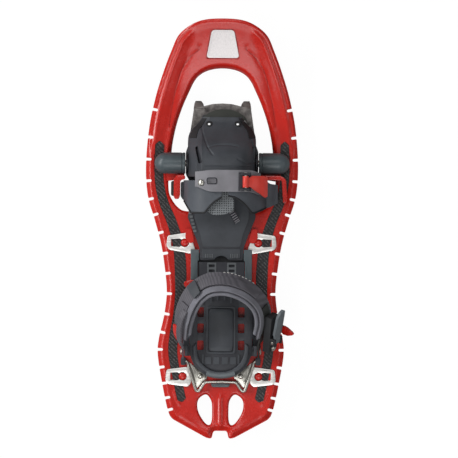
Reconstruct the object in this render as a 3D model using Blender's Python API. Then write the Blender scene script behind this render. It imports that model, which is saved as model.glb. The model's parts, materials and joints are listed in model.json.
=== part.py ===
"""Snowshoe, one shoe: a moulded deck with carbon inlays and steel crampons, and a boot binding that turns on two
stub axles, with a sliding heel plate, a swinging ankle harness, a ratchet buckle and a folding heel lifter.

Dimensions are in millimetres and become metres where a mesh is made. +Y is the toe, +X the outer side, +Z up."""

import math

import bmesh
import bpy
from mathutils import Vector
from mathutils.geometry import delaunay_2d_cdt

MM = 0.001

# Heights of the stacked layers above the ground
DECK_BOTTOM = 17
DECK_TOP = 23
EDGE_STEP = 6
INLAY_TOP = DECK_TOP + 0.5
BRACKET_LOW = INLAY_TOP + 0.4
BRACKET_HIGH = BRACKET_LOW + 2.5
BASE_LOW = 25
BASE_HIGH = 31
HEEL_LOW = 32
HEEL_HIGH = 38
NOSE_RISE = 40
NOSE_START = 150
NOSE_END = 295
TAIL_RISE = 7
TAIL_START = -240
TAIL_END = -295

# Plan of the deck: the right half, nose to tail
DECK_SIDE = [(34, 291), (60, 274), (72.5, 249), (85, 215), (95, 181), (103, 140), (107, 88), (104, 46), (94, 12),
             (85, -21), (79.5, -55), (76.5, -89), (80, -122), (87, -154), (88.5, -177), (82.5, -215), (75.5, -249),
             (71, -263)]
NOSE = (0, 295)
TAIL = [(67, -268), (19, -294), (12, -295), (9.5, -284)]
TOE_OPENING = [(13, 224.3), (25, 220.5), (34.5, 214), (40.5, 206), (44.5, 198), (55.5, 173), (64, 147.5),
               (69.5, 122), (72, 100), (75, 75), (74.5, 52), (69, 39), (61, 29.5), (52, 25), (30, 24)]
AXLE_SHELF = [(52.8, 72.5), (52.8, 79.5), (79, 81), (79, 66.5), (62, 69)]
OPENING_FRONT = (0, 225.5)
OPENING_REAR = (0, 24)
TAIL_HOLE = [(20, -233), (29.8, -238.4), (32.5, -248.3), (29.8, -260), (21.6, -272.6), (15.5, -275.8),
             (12.2, -270.7), (11.5, -256.4), (12.8, -242)]
NOTCH_PLACES = [167.8, 128.7, 97.5, 66.9, 40.9, 18.7, -6.5, -35.3, -63.4, -91.5, -119.6, -145.3, -170, -195.4,
                -218, -238.4, -255.4]
NOTCH_DEPTH = 7.5
NOTCH_HALF = 1.9
CREST = 2
CREST_AT = 8
CREST_END = 18
EDGE_DROP = 2.5
BADGE_FRONT, BADGE_REAR = 279, 240
BADGE_HALF_FRONT, BADGE_HALF_REAR = 15.5, 23
INLAY_CENTRE = [(88, 118), (88.5, 92), (88, 66), (82, 38), (70, 9), (62, -18), (58, -45), (57, -88), (60, -120),
                (66, -152), (67, -179), (58.5, -222), (54.5, -240)]

# Steel side crampons on the deck
FRONT_BRACKET = [(46.3, -5.2), (75.9, -9.7), (77.3, -24.4), (73.9, -29.6), (42.4, -35.3), (36.4, -30.3),
                 (40.3, -19.5)]
REAR_BRACKET = [(46, -194), (76, -198), (77.5, -214), (74, -218.5), (46, -222), (41, -216), (43, -205)]
BRACKET_HOLE_R = 6
RIVET_R = 5.4
BLADE_THICK = 2.6
BLADE_HALF = 8

# Pivot of the binding
AXLE_Y = 92
AXLE_Z = 34
HOUSING_R = 15
HOUSING_IN = 51.6
HOUSING_DOME = 79
HOUSING_OUT = 95
BORE_R = 5
PIN_R = 4.6
CHEEK_IN = 47.2
CHEEK_OUT = 51
CHEEK_R = 11
BUSH_R = 6.6

# Forefoot harness
TOE_HOLES = (-18.5, 21.5)
TOE_HOLE_Y = 147
ARCH_MID = 4
ARCH_HALF = 58
ARCH_HEIGHT = 60
WING_FRONT = 68
SHEET = 3
STRAP_LIFT = 4.5
TOE_BUCKLE_TURN = 1.22

# Heel plate, harness joint and lifter
ANKLE_Y = -172
ANKLE_Z = 46
EAR_IN, EAR_OUT = 46.5, 51
LIFTER_Y = -186
LIFTER_Z = 29
WIRE_R = 2.2
LOCK_X, LOCK_Y = -38, -78

# Ankle harness: outer face of the band, right rivet round the instep to the left rivet, with its lean in degrees
RING = [(51.2, -172, 46, 0), (52, -162, 52, 4), (58, -148, 60, 22), (63, -130, 70, 30), (60, -110, 80, 36),
        (48, -92.5, 88, 42), (29, -80, 94, 48), (6, -73.5, 97, 52), (-18, -75.5, 95, 53), (-35, -86, 90, 52),
        (-46.5, -101, 82, 50), (-54, -121, 73, 46), (-56.5, -142, 63, 34), (-52, -162, 52, 4), (-51.2, -172, 46, 0)]
BAND = 2.5
BAND_HALF = 17
LEVER_ALONG = -23
LEVER_UP = 19
RELEASE_ALONG = -9
RELEASE_UP = 17.4


def clear_scene():
    for obj in list(bpy.data.objects):
        bpy.data.objects.remove(obj, do_unlink=True)


def finish(name, colour, roughness, metallic=0.0):
    made = bpy.data.materials.new(name)
    made.use_nodes = True
    shader = made.node_tree.nodes["Principled BSDF"]
    shader.inputs["Base Color"].default_value = (*colour, 1)
    shader.inputs["Roughness"].default_value = roughness
    shader.inputs["Metallic"].default_value = metallic
    made.diffuse_color = (*colour, 1)
    return made


def body(name, origin, parent=None):
    """An empty on a joint's axis, which carries the pieces that move together."""
    made = bpy.data.objects.new(name, None)
    bpy.context.scene.collection.objects.link(made)
    made["origin"] = origin
    if parent:
        made.parent = parent
    base = Vector(parent["origin"]) if parent else Vector()
    made.location = (Vector(origin) - base) * MM
    return made


def place(name, bm, holder):
    """One object from a bmesh in world millimetres, with its origin on its body's joint."""
    origin = Vector(holder["origin"])
    for vert in bm.verts:
        vert.co = (vert.co - origin) * MM
    bmesh.ops.recalc_face_normals(bm, faces=bm.faces)
    mesh = bpy.data.meshes.new(name)
    bm.to_mesh(mesh)
    bm.free()
    obj = bpy.data.objects.new(name, mesh)
    bpy.context.scene.collection.objects.link(obj)
    obj.parent = holder
    return obj


def piece(name, bm, look, holder):
    obj = place(name, bm, holder)
    obj.data.materials.append(look)
    for face in obj.data.polygons:
        face.use_smooth = True
    obj.data.set_sharp_from_angle(angle=math.radians(32))
    return obj


def combine(obj, bm, operation):
    """Cut the bmesh from the object, or join it on."""
    tool = place(f"{obj.name}_{operation.lower()}", bm, obj.parent)
    tool.hide_render = True
    tool.display_type = "WIRE"
    modifier = obj.modifiers.new(operation.title(), "BOOLEAN")
    modifier.object = tool
    modifier.operation = operation
    modifier.solver = "EXACT"


def merged(parts):
    """One bmesh holding all the given ones."""
    whole = bmesh.new()
    for part in parts:
        bmesh.ops.recalc_face_normals(part, faces=part.faces)
        copies = {vert: whole.verts.new(vert.co) for vert in part.verts}
        for face in part.faces:
            whole.faces.new([copies[vert] for vert in face.verts])
        part.free()
    return whole


def smooth(value):
    value = min(max(value, 0), 1)
    return value * value * (3 - 2 * value)


def spline(points, step, closed=False):
    """Points about a step apart on a smooth curve through the given points."""
    points = [Vector(point) for point in points]
    count = len(points)
    spans = count if closed else count - 1
    made = []
    for index in range(spans):
        if closed:
            near = [points[(index + shift) % count] for shift in (-1, 0, 1, 2)]
        else:
            near = [points[min(max(index + shift, 0), count - 1)] for shift in (-1, 0, 1, 2)]
        parts = max(1, round((near[2] - near[1]).length / step))
        for part in range(parts):
            t = part / parts
            ahead = near[2] - near[0]
            bend = 2 * near[0] - 5 * near[1] + 4 * near[2] - near[3]
            twist = 3 * near[1] - near[0] - 3 * near[2] + near[3]
            made.append(near[1] + 0.5 * (ahead * t + bend * t * t + twist * t ** 3))
    if not closed:
        made.append(points[-1])
    return made


def mirrored(points):
    return [Vector((-point[0], point[1])) for point in reversed(points)]


def inside(point, loop):
    x, y = point[0], point[1]
    found = False
    for a, b in zip(loop, loop[1:] + loop[:1]):
        if (a[1] > y) != (b[1] > y) and x < (b[0] - a[0]) * (y - a[1]) / (b[1] - a[1]) + a[0]:
            found = not found
    return found


def distance(point, loop):
    best = math.inf
    for a, b in zip(loop, loop[1:] + loop[:1]):
        dx, dy = b[0] - a[0], b[1] - a[1]
        along = ((point[0] - a[0]) * dx + (point[1] - a[1]) * dy) / (dx * dx + dy * dy)
        along = min(max(along, 0), 1)
        best = min(best, math.hypot(point[0] - a[0] - along * dx, point[1] - a[1] - along * dy))
    return best


def offset(loop, gap):
    """The loop with each point moved out by the gap."""
    turn = sum(a[0] * b[1] - a[1] * b[0] for a, b in zip(loop, loop[1:] + loop[:1]))
    sign = 1 if turn > 0 else -1
    made = []
    for index, point in enumerate(loop):
        before, after = Vector(loop[index - 1]), Vector(loop[(index + 1) % len(loop)])
        here = Vector(point)
        first, second = (here - before).normalized(), (after - here).normalized()
        normal = Vector((first.y + second.y, -first.x - second.x)).normalized()
        spread = max(0.5, normal.dot(Vector((first.y, -first.x))))
        made.append(here + normal * (sign * gap / spread))
    return made


def plate(outline, holes, low, high, inner=()):
    """A closed plate between two heights, which may be numbers or functions of x and y."""
    loops = [list(outline), *[list(hole) for hole in holes]]
    points, edges = [], []
    for loop in loops:
        start = len(points)
        points += [Vector((point[0], point[1])) for point in loop]
        edges += [(start + i, start + (i + 1) % len(loop)) for i in range(len(loop))]
    points += [Vector((point[0], point[1])) for point in inner]
    found = delaunay_2d_cdt(points, edges, [], 0, 1e-6)
    flat, faces = found[0], found[2]
    kept = []
    for face in faces:
        middle = sum((flat[index] for index in face), Vector((0, 0))) / len(face)
        if inside(middle, loops[0]) and not any(inside(middle, hole) for hole in loops[1:]):
            kept.append(face)

    def level(height, point):
        return height(point.x, point.y) if callable(height) else height

    bm = bmesh.new()
    used = sorted({index for face in kept for index in face})
    top = {i: bm.verts.new((*flat[i], level(high, flat[i]))) for i in used}
    bottom = {i: bm.verts.new((*flat[i], level(low, flat[i]))) for i in used}
    owners = {}
    for face in kept:
        bm.faces.new([top[i] for i in face])
        bm.faces.new([bottom[i] for i in reversed(face)])
        for a, b in zip(face, [*face[1:], face[0]]):
            owners.setdefault((min(a, b), max(a, b)), []).append((a, b))
    for uses in owners.values():
        if len(uses) == 1:
            a, b = uses[0]
            bm.faces.new((top[b], top[a], bottom[a], bottom[b]))
    return bm


def block(low, high):
    (x0, y0, z0), (x1, y1, z1) = low, high
    return plate([(x0, y0), (x1, y0), (x1, y1), (x0, y1)], [], z0, z1)


def loft(rings):
    """A closed skin over rings of equal count, capped at both ends."""
    bm = bmesh.new()
    made = [[bm.verts.new(point) for point in ring] for ring in rings]
    for first, second in zip(made, made[1:]):
        for i in range(len(first)):
            j = (i + 1) % len(first)
            bm.faces.new((first[i], first[j], second[j], second[i]))
    bm.faces.new(made[0])
    bm.faces.new(made[-1])
    return bm


def cross_frame(axis):
    """Two unit vectors square to the axis."""
    axis = Vector(axis).normalized()
    side = Vector((0, 0, 1)) if abs(axis.z) < 0.9 else Vector((0, 1, 0))
    first = axis.cross(side).normalized()
    return first, axis.cross(first)


def lathe(profile, centre, axis, sides=24):
    """A turned solid: the profile is (distance along the axis, radius), from one end on the axis to the other."""
    axis = Vector(axis).normalized()
    first, second = cross_frame(axis)
    bm = bmesh.new()
    rings = []
    for along, radius in profile:
        middle = Vector(centre) + axis * along
        if radius == 0:
            rings.append([bm.verts.new(middle)])
            continue
        turns = [math.tau * i / sides for i in range(sides)]
        rings.append([bm.verts.new(middle + (first * math.cos(t) + second * math.sin(t)) * radius) for t in turns])
    for near, far in zip(rings, rings[1:]):
        for i in range(sides):
            j = (i + 1) % sides
            corners = [near[i % len(near)], near[j % len(near)], far[j % len(far)], far[i % len(far)]]
            bm.faces.new(list(dict.fromkeys(corners)))
    return bm


def rod(start, end, radius, sides=20):
    start, end = Vector(start), Vector(end)
    length = (end - start).length
    return lathe([(0, 0), (0, radius), (length, radius), (length, 0)], start, end - start, sides)


def ring_solid(centre, axis, length, inner, outer, sides=24):
    """A tube open at both ends."""
    bm = bmesh.new()
    axis = Vector(axis).normalized()
    first, second = cross_frame(axis)
    loops = []
    for along, radius in ((0, inner), (0, outer), (length, outer), (length, inner)):
        middle = Vector(centre) + axis * along
        turns = [math.tau * i / sides for i in range(sides)]
        loops.append([bm.verts.new(middle + (first * math.cos(t) + second * math.sin(t)) * radius) for t in turns])
    for near, far in zip(loops, loops[1:] + loops[:1]):
        for i in range(sides):
            j = (i + 1) % sides
            bm.faces.new((near[i], near[j], far[j], far[i]))
    return bm


def dome(centre, axis, radius, height, sides=20, base=0.6):
    """A rivet head: a short wall and a rounded crown."""
    arc = [(base + (height - base) * math.sin(a), radius * math.cos(a)) for a in (0, 0.5, 0.95, 1.3)]
    return lathe([(0, 0), (0, radius), *arc, (height, 0)], centre, axis, sides)


def tube(path, radius, sides=10):
    """A round bar along a path."""
    path = [Vector(point) for point in path]
    rings = []
    side = None
    for index, point in enumerate(path):
        before, after = path[max(index - 1, 0)], path[min(index + 1, len(path) - 1)]
        ahead = (after - before).normalized()
        if side is None:
            side = cross_frame(ahead)[0]
        side = (side - ahead * side.dot(ahead)).normalized()
        up = ahead.cross(side)
        turns = [math.tau * i / sides for i in range(sides)]
        rings.append([point + (side * math.cos(t) + up * math.sin(t)) * radius for t in turns])
    return loft(rings)


def slab(grid, thickness):
    """A closed sheet under a grid of points: thickness(i, j) is taken against the surface normal."""
    rows, cols = len(grid), len(grid[0])
    bm = bmesh.new()
    outer, inner = {}, {}
    for i in range(rows):
        for j in range(cols):
            along = grid[min(i + 1, rows - 1)][j] - grid[max(i - 1, 0)][j]
            across = grid[i][min(j + 1, cols - 1)] - grid[i][max(j - 1, 0)]
            normal = along.cross(across).normalized()
            depth = thickness(i, j) if callable(thickness) else thickness
            outer[i, j] = bm.verts.new(grid[i][j])
            inner[i, j] = bm.verts.new(grid[i][j] - normal * depth)
    for i in range(rows - 1):
        for j in range(cols - 1):
            corners = [(i, j), (i + 1, j), (i + 1, j + 1), (i, j + 1)]
            bm.faces.new([outer[c] for c in corners])
            bm.faces.new([inner[c] for c in reversed(corners)])
    rim = [(i, 0) for i in range(rows)] + [(rows - 1, j) for j in range(1, cols)]
    rim += [(i, cols - 1) for i in range(rows - 2, -1, -1)] + [(0, j) for j in range(cols - 2, 0, -1)]
    for a, b in zip(rim, rim[1:] + rim[:1]):
        bm.faces.new((outer[b], outer[a], inner[a], inner[b]))
    return bm


def disc(x, y, radius, count=16):
    turns = [math.tau * i / count for i in range(count)]
    return [Vector((x + radius * math.cos(t), y + radius * math.sin(t))) for t in turns]


def rounded(corners, radius, count=3):
    """A polygon with its corners rounded."""
    made = []
    for index, corner in enumerate(corners):
        corner = Vector(corner)
        before = Vector(corners[index - 1]) - corner
        after = Vector(corners[(index + 1) % len(corners)]) - corner
        cut = min(radius, before.length / 2.2, after.length / 2.2)
        start, end = corner + before.normalized() * cut, corner + after.normalized() * cut
        for i in range(count + 1):
            t = i / count
            made.append(start * (1 - t) ** 2 + corner * (2 * t * (1 - t)) + end * t * t)
    return made


def flipped(points, side):
    """The points as given for the right side, or mirrored for the left."""
    return [Vector((point[0] * side, point[1])) for point in points]


# The deck


def deck_rise(y):
    if y > NOSE_START:
        return NOSE_RISE * ((y - NOSE_START) / (NOSE_END - NOSE_START)) ** 1.8
    if y < TAIL_START:
        return TAIL_RISE * ((y - TAIL_START) / (TAIL_END - TAIL_START)) ** 2
    return 0


def deck_outline():
    side = [Vector(point) for point in DECK_SIDE]
    crown = spline(mirrored(side) + [Vector(NOSE)] + side, 13)
    tail = [Vector(point) for point in TAIL]
    return crown + tail + mirrored(tail)


def toe_opening():
    half = [Vector(point) for point in TOE_OPENING]
    return spline([Vector(OPENING_FRONT), *half, Vector(OPENING_REAR), *mirrored(half)], 13, True)


def inlay_outline(side, grow=0.0):
    centre = spline(INLAY_CENTRE, 18)
    left, right = [], []
    for index, point in enumerate(centre):
        ahead = (centre[min(index + 1, len(centre) - 1)] - centre[max(index - 1, 0)]).normalized()
        half = 6 + 2 * math.exp(-((point.y + 60) / 70) ** 2) + grow
        left.append(point + Vector((-ahead.y, ahead.x)) * half)
        right.append(point - Vector((-ahead.y, ahead.x)) * half)
    front = centre[0] + (centre[0] - centre[1]).normalized() * (6 + grow)
    rear = centre[-1] + (centre[-1] - centre[-2]).normalized() * (4 + grow)
    return flipped([front, *left, rear, *reversed(right)], side)


def badge_outline(grow=0.0):
    front, rear = BADGE_FRONT + grow, BADGE_REAR - grow
    corners = [(-BADGE_HALF_REAR - grow, rear), (BADGE_HALF_REAR + grow, rear), (BADGE_HALF_FRONT + grow, front),
               (-BADGE_HALF_FRONT - grow, front)]
    return rounded(corners, 5)


def notch(outline, y, side):
    """A slot cut square into the edge of the deck."""
    for a, b in zip(outline, outline[1:] + outline[:1]):
        if a.x * side > 30 and b.x * side > 30 and min(a.y, b.y) <= y < max(a.y, b.y):
            break
    edge = a.lerp(b, (y - a.y) / (b.y - a.y))
    along = (b - a).normalized()
    inward = Vector((-along.y, along.x))
    if inward.x * side > 0:
        inward = -inward
    turns = [math.pi * i / 6 for i in range(7)]
    end = edge + inward * (NOTCH_DEPTH - NOTCH_HALF)
    tip = [end + along * (NOTCH_HALF * math.cos(t)) + inward * (NOTCH_HALF * math.sin(t)) for t in turns]
    out = edge - inward * 6
    return plate([out + along * NOTCH_HALF, *tip, out - along * NOTCH_HALF], [], 5, 60)


def housing(side, grow=0.0, bored=True):
    """The domed cylinder that holds a stub axle, open at its inner end."""
    radius = HOUSING_R + grow
    turns = [math.pi / 2 * i / 5 for i in range(1, 5)]
    depth = HOUSING_OUT - HOUSING_DOME + grow
    arc = [(HOUSING_DOME + depth * math.sin(t), radius * math.cos(t)) for t in turns]
    profile = [(HOUSING_OUT + grow, 0), *reversed(arc), (HOUSING_DOME, radius), (HOUSING_IN - grow, radius)]
    if bored:
        profile += [(HOUSING_IN, BORE_R), (86, BORE_R), (86, 0)]
    else:
        profile += [(HOUSING_IN - grow, 0)]
    return lathe(profile, (0, AXLE_Y, AXLE_Z), (side, 0, 0), 28)


def bracket_blades(corners):
    """Places of the two teeth of a side crampon, for the right side."""
    middle = (corners[0][1] + corners[4][1]) / 2
    outer = (corners[1][0] + corners[2][0]) / 2 - 4
    inner = corners[6][0] + 3
    return [(outer, middle + 1), (inner, middle)]


def keyhole(x, y):
    """The opening of a side crampon's plate: a round hole that runs out into a slot, for the right side."""
    turns = [math.radians(turn) for turn in range(45, 316, 15)]
    arc = [(x + BRACKET_HOLE_R * math.cos(t), y + BRACKET_HOLE_R * math.sin(t)) for t in turns]
    return [*arc, (x + 7.5, y - 5.8), (70.8, y - 5), (70.8, y + 5), (x + 7.5, y + 5.8)]


def blade(x, y, low, high, half):
    """A tooth: a thin plate along Y that narrows to a blunt point."""
    thick = BLADE_THICK / 2
    profile = [(y - half, high), (y - half, 15), (y - 1.5, low), (y + 1.5, low), (y + half, 15), (y + half, high)]
    return loft([[Vector((x - thick, v, z)) for v, z in profile], [Vector((x + thick, v, z)) for v, z in profile]])


def build_deck(frame, looks):
    outline = deck_outline()
    opening = toe_opening()
    holes = [opening]
    for side in (1, -1):
        holes.append(spline(flipped(TAIL_HOLE, side), 12, True))

    def crest(x, y):
        gap = distance((x, y), outline)
        if gap < CREST_AT:
            return -EDGE_DROP + (CREST + EDGE_DROP) * smooth(gap / CREST_AT)
        return CREST * (1 - smooth((gap - CREST_AT) / (CREST_END - CREST_AT)))

    def top(x, y):
        return DECK_TOP + deck_rise(y) + crest(x, y)

    def bottom(x, y):
        return DECK_BOTTOM + deck_rise(y) + 1.5 * (1 - smooth(distance((x, y), outline) / EDGE_STEP))

    inner = []
    for gap in (CREST_AT / 2, CREST_AT, CREST_END):
        for point in offset(outline, -gap):
            if distance(point, outline) > 0.93 * gap:
                inner.append(point)
    for row in range(-12, 13):
        for col in range(-5, 6):
            point = Vector((col * 26 + (row % 2) * 13, row * 24))
            if inside(point, outline) and distance(point, outline) > CREST_END + 9:
                inner.append(point)
    inner = [p for p in inner if not any(inside(p, h) or distance(p, h) < 4 for h in holes)]
    deck = piece("deck", plate(outline, holes, bottom, top, inner), looks["red"], frame)

    shelves = [plate(rounded(flipped(AXLE_SHELF, side), 1.5), [], DECK_BOTTOM + 0.7, DECK_TOP - 0.7)
               for side in (1, -1)]
    combine(deck, merged(shelves), "UNION")

    notches, channels, seats, pockets, slots = [], [], [], [], []
    for side in (1, -1):
        notches += [notch(outline, y, side) for y in NOTCH_PLACES]
        channels.append(plate(inlay_outline(side, 0.4), [], DECK_TOP - 2, 60))
        seats.append(housing(side, 0.4, False))
        for corners in (FRONT_BRACKET, REAR_BRACKET):
            pockets.append(plate(offset(flipped(corners, side), 0.4), [], DECK_TOP + 0.5, 60))
            for x, y in bracket_blades(corners):
                half = BLADE_HALF + 0.4
                thick = BLADE_THICK / 2 + 0.4
                slots.append(block((x * side - thick, y - half, 5), (x * side + thick, y + half, 60)))
    notches.append(plate(badge_outline(0.4), [], lambda x, y: DECK_TOP + deck_rise(y) - 1.6, 90))
    for cuts in (notches, channels, seats, pockets, slots):
        combine(deck, merged(cuts), "DIFFERENCE")

    badge = plate(badge_outline(), [], lambda x, y: DECK_TOP + deck_rise(y) - 1.2,
                  lambda x, y: DECK_TOP + deck_rise(y) + 0.4)
    piece("badge_plate", badge, looks["silver"], frame)


def build_deck_fittings(frame, looks):
    for side, word in ((1, "right"), (-1, "left")):
        inlay = piece(f"carbon_inlay_{word}", plate(inlay_outline(side), [], DECK_TOP - 1.6, INLAY_TOP),
                      looks["carbon"], frame)
        combine(inlay, housing(side, 0.4, False), "DIFFERENCE")
        piece(f"pivot_housing_{word}", housing(side), looks["grey"], frame)
        pin = rod((side * (CHEEK_IN + 0.3), AXLE_Y, AXLE_Z), (side * 85, AXLE_Y, AXLE_Z), PIN_R)
        piece(f"pivot_pin_{word}", pin, looks["steel"], frame)
        for place_word, corners, hole_x in (("front", FRONT_BRACKET, 51.7), ("rear", REAR_BRACKET, 53.4)):
            middle = (corners[0][1] + corners[4][1]) / 2
            opening = flipped(keyhole(hole_x, middle + 0.5), side)
            frame_plate = plate(rounded(flipped(corners, side), 3), [opening], BRACKET_LOW, BRACKET_HIGH)
            made = piece(f"crampon_{place_word}_{word}", frame_plate, looks["bright"], frame)
            teeth = [blade(x * side, y, 0, BRACKET_HIGH - 0.8, BLADE_HALF) for x, y in bracket_blades(corners)]
            combine(made, merged(teeth), "UNION")
            head = dome((hole_x * side, middle + 0.5, BRACKET_LOW), (0, 0, 1), RIVET_R, 3.6)
            piece(f"crampon_rivet_{place_word}_{word}", head, looks["red"], frame)
        guide = [(45.5, -186.5), (42.6, -200), (39, -215), (33, -225), (27, -218), (18.5, -209.5), (20, -205),
                 (30, -197), (39, -192)]
        guide = rounded(flipped(guide, side), 3)
        guide_sheet = plate(guide, [], DECK_TOP + 0.3, DECK_TOP + 1.8)
        made = piece(f"guide_plate_{word}", guide_sheet, looks["steel"], frame)
        combine(made, dome((28.3 * side, -207, DECK_TOP + 0.8), (0, 0, 1), 4, 2.6), "UNION")
        lug = [(49, -180.5), (56, -180.5), (56, -191.5), (49, -191.5)]
        lug_block = plate(rounded(flipped(lug, side), 2), [], DECK_TOP + 0.3, LIFTER_Z + 4.3)
        made = piece(f"lifter_lug_{word}", lug_block, looks["dark"], frame)
        bore = rod((side * 45, LIFTER_Y, LIFTER_Z), (side * 54.5, LIFTER_Y, LIFTER_Z), WIRE_R + 0.5, 16)
        combine(made, bore, "DIFFERENCE")
    bumper = rounded([(-12.5, -222.5), (12.5, -222.5), (14, -214), (-14, -214)], 3)
    piece("heel_bumper", plate(bumper, [], DECK_TOP + 0.3, DECK_TOP + 3.2), looks["grey"], frame)


def build_lifter(holder, looks):
    """The bent wire that props the heel: two legs, two pointed corners and a cross-bar."""
    half = [(53.5, 0), (47, 0), (43, -14), (38, -30), (34.5, -41), (31.5, -42.5), (28, -39), (22, -29.5),
            (0, -28.5)]
    right = [Vector((x, LIFTER_Y + y, LIFTER_Z)) for x, y in half]
    left = [Vector((-p.x, p.y, p.z)) for p in reversed(right[:-1])]
    piece("heel_lifter", tube(rounded_path(right + left, 3, 2), WIRE_R, 8), looks["steel"], holder)


def rounded_path(points, radius, count=3):
    """An open path with its bends rounded."""
    made = [points[0]]
    for before, corner, after in zip(points, points[1:], points[2:]):
        back, ahead = before - corner, after - corner
        cut = min(radius, back.length / 2.2, ahead.length / 2.2)
        start, end = corner + back.normalized() * cut, corner + ahead.normalized() * cut
        for i in range(count + 1):
            t = i / count
            made.append(start * (1 - t) ** 2 + corner * (2 * t * (1 - t)) + end * t * t)
    made.append(points[-1])
    return made


# The forefoot binding


def boot_arch(turn, grow=0.0):
    """A point of the harness's cross-section in X and Z: turn is 0 at the arch's right foot and pi at its left."""
    across, up = math.cos(turn), math.sin(turn)
    x = ARCH_MID + (ARCH_HALF + grow) * math.copysign(abs(across) ** 0.77, across)
    return x, BASE_HIGH + (ARCH_HEIGHT + grow) * max(up, 0) ** 0.77


def arch_sheet(turns, front, rear, grow, columns=5):
    """A grid over the harness arch between two edges given as functions of the turn."""
    grid = []
    for turn in turns:
        x, z = boot_arch(turn, grow)
        start, end = front(turn), rear(turn)
        grid.append([Vector((x, start + (end - start) * j / (columns - 1), z)) for j in range(columns)])
    return grid


def span(start, end, count):
    return [start + (end - start) * i / (count - 1) for i in range(count)]


def build_base(frame, looks):
    half = [(28, 160), (30, 150), (33, 141), (42, 129), (47, 119), (51, 108), (51, 76), (46, 68), (46, 26),
            (48, 16), (38, -8), (31, -27), (30, -44), (10, -44), (7, -40)]
    outline = [Vector((0, 163)), *[Vector(p) for p in half], Vector((0, -37.5))]
    outline += mirrored([Vector(p) for p in half])
    holes = [disc(x, TOE_HOLE_Y, 4.4) for x in TOE_HOLES]
    base = piece("base_plate", plate(rounded(outline, 3, 2), holes, BASE_LOW, BASE_HIGH), looks["dark"], frame)
    cheeks, bores = [], []
    for side in (1, -1):
        turns = span(-0.2, math.pi + 0.2, 9)
        arc = [(AXLE_Y + CHEEK_R * math.cos(t), AXLE_Z + CHEEK_R * math.sin(t)) for t in turns]
        profile = [(AXLE_Y + 15, BASE_HIGH - 3), *arc, (AXLE_Y - 15, BASE_HIGH - 3)]
        ends = sorted((side * CHEEK_IN, side * (CHEEK_OUT - 0.2)))
        cheeks.append(loft([[Vector((x, y, z)) for y, z in profile] for x in ends]))
        bores.append(rod((side * 44, AXLE_Y, AXLE_Z), (side * 53, AXLE_Y, AXLE_Z), BUSH_R + 0.4, 24))
    combine(base, merged(cheeks), "UNION")
    combine(base, merged(bores), "DIFFERENCE")
    for side, word in ((1, "right"), (-1, "left")):
        length = CHEEK_OUT - CHEEK_IN - 0.2
        bush = ring_solid((side * CHEEK_IN, AXLE_Y, AXLE_Z), (side, 0, 0), length, BORE_R, BUSH_R)
        piece(f"pivot_bush_{word}", bush, looks["black"], frame)
        rail = [(33, -46), (31.4, -44), (31.4, -29), (43, -29), (43, -152), (33, -152)]
        rail_bar = plate(flipped(rail, side), [], BASE_LOW + 2, BASE_HIGH + 0.3)
        piece(f"rail_{word}", rail_bar, looks["grey"], frame)
    slots = [[(-14, y - 2.5), (14, y - 2.5), (14, y + 2.5), (-14, y + 2.5)] for y in span(-58, -142, 8)]
    rack = [(22, -152), (22, -106), (32.2, -100), (32.2, -46.6)]
    rack = rounded([*mirrored(rack), *[Vector(point) for point in rack]], 2)
    piece("length_rack", plate(rack, slots, BASE_LOW + 0.5, BASE_LOW + 4.5), looks["dark"], frame)


def build_front_crampon(frame, looks):
    half = [(14, 175.5), (26, 172.5), (40, 170), (43, 149), (47, 123), (48.5, 98), (40, 98), (39.5, 126),
            (35, 147), (27, 158), (14, 163)]
    outer = [Vector(p) for p in half[:6]]
    inner = [Vector(p) for p in half[6:]]
    outline = [Vector((0, 176.5)), *outer, *inner, Vector((0, 164.5)), *mirrored(inner), *mirrored(outer)]
    made = piece("front_crampon", plate(rounded(outline, 2, 2), [], 21.5, 24.6), looks["worn"], frame)
    teeth = []
    for side in (1, -1):
        teeth.append(blade(side * 41.3, 146, 0.3, 24, 7))
        teeth.append(blade(side * 44.5, 114, 0.3, 24, 8))
        rings = []
        for y, low, high, x0, x1 in ((160, 22, 24, 25, 40), (169, 21, 25.2, 25, 40.5), (176, 15, 20.5, 27, 39.5),
                                     (180, 8, 12, 30, 38)):
            rings.append([Vector((side * x, y, z)) for x, z in ((x0, low), (x1, low), (x1, high), (x0, high))])
        teeth.append(loft(rings))
    combine(made, merged(teeth), "UNION")


def build_toe_cap(frame, looks):
    rows = [(161, 26, 7), (155, 29, 8), (150, 32.5, 9.5), (145, 37, 12.5), (139, 43, 17), (131, 46.5, 24.5),
            (122, 47.5, 34), (113, 47.3, 43), (104, 46.5, 49.5), (90, 46.5, 54), (73, 46.5, 56)]
    grid = []
    for y, half, height in rows:
        line = []
        for turn in span(math.pi, 0, 19):
            across, up = math.cos(turn), math.sin(turn)
            x = half * math.copysign(abs(across) ** 0.72, across)
            line.append(Vector((x, y, BASE_HIGH + 0.7 + height * max(up, 0) ** 0.72)))
        grid.append(line)
    cap = piece("toe_cap", slab(grid, SHEET), looks["slate"], frame)
    cuts = [rod((x, TOE_HOLE_Y, 30), (x, TOE_HOLE_Y, 60), 4, 16) for x in TOE_HOLES]
    slit = rounded([(-38, 114), (-34.5, 116), (-27.5, 93), (-33, 91)], 1.5)
    cuts.append(plate(slit, [], 50, 95))
    slot = rounded([(92, 46), (116, 46), (116, 56), (92, 58)], 4)
    cuts.append(loft([[Vector((x, y, z)) for y, z in slot] for x in (36, 60)]))
    combine(cap, merged(cuts), "DIFFERENCE")


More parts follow.
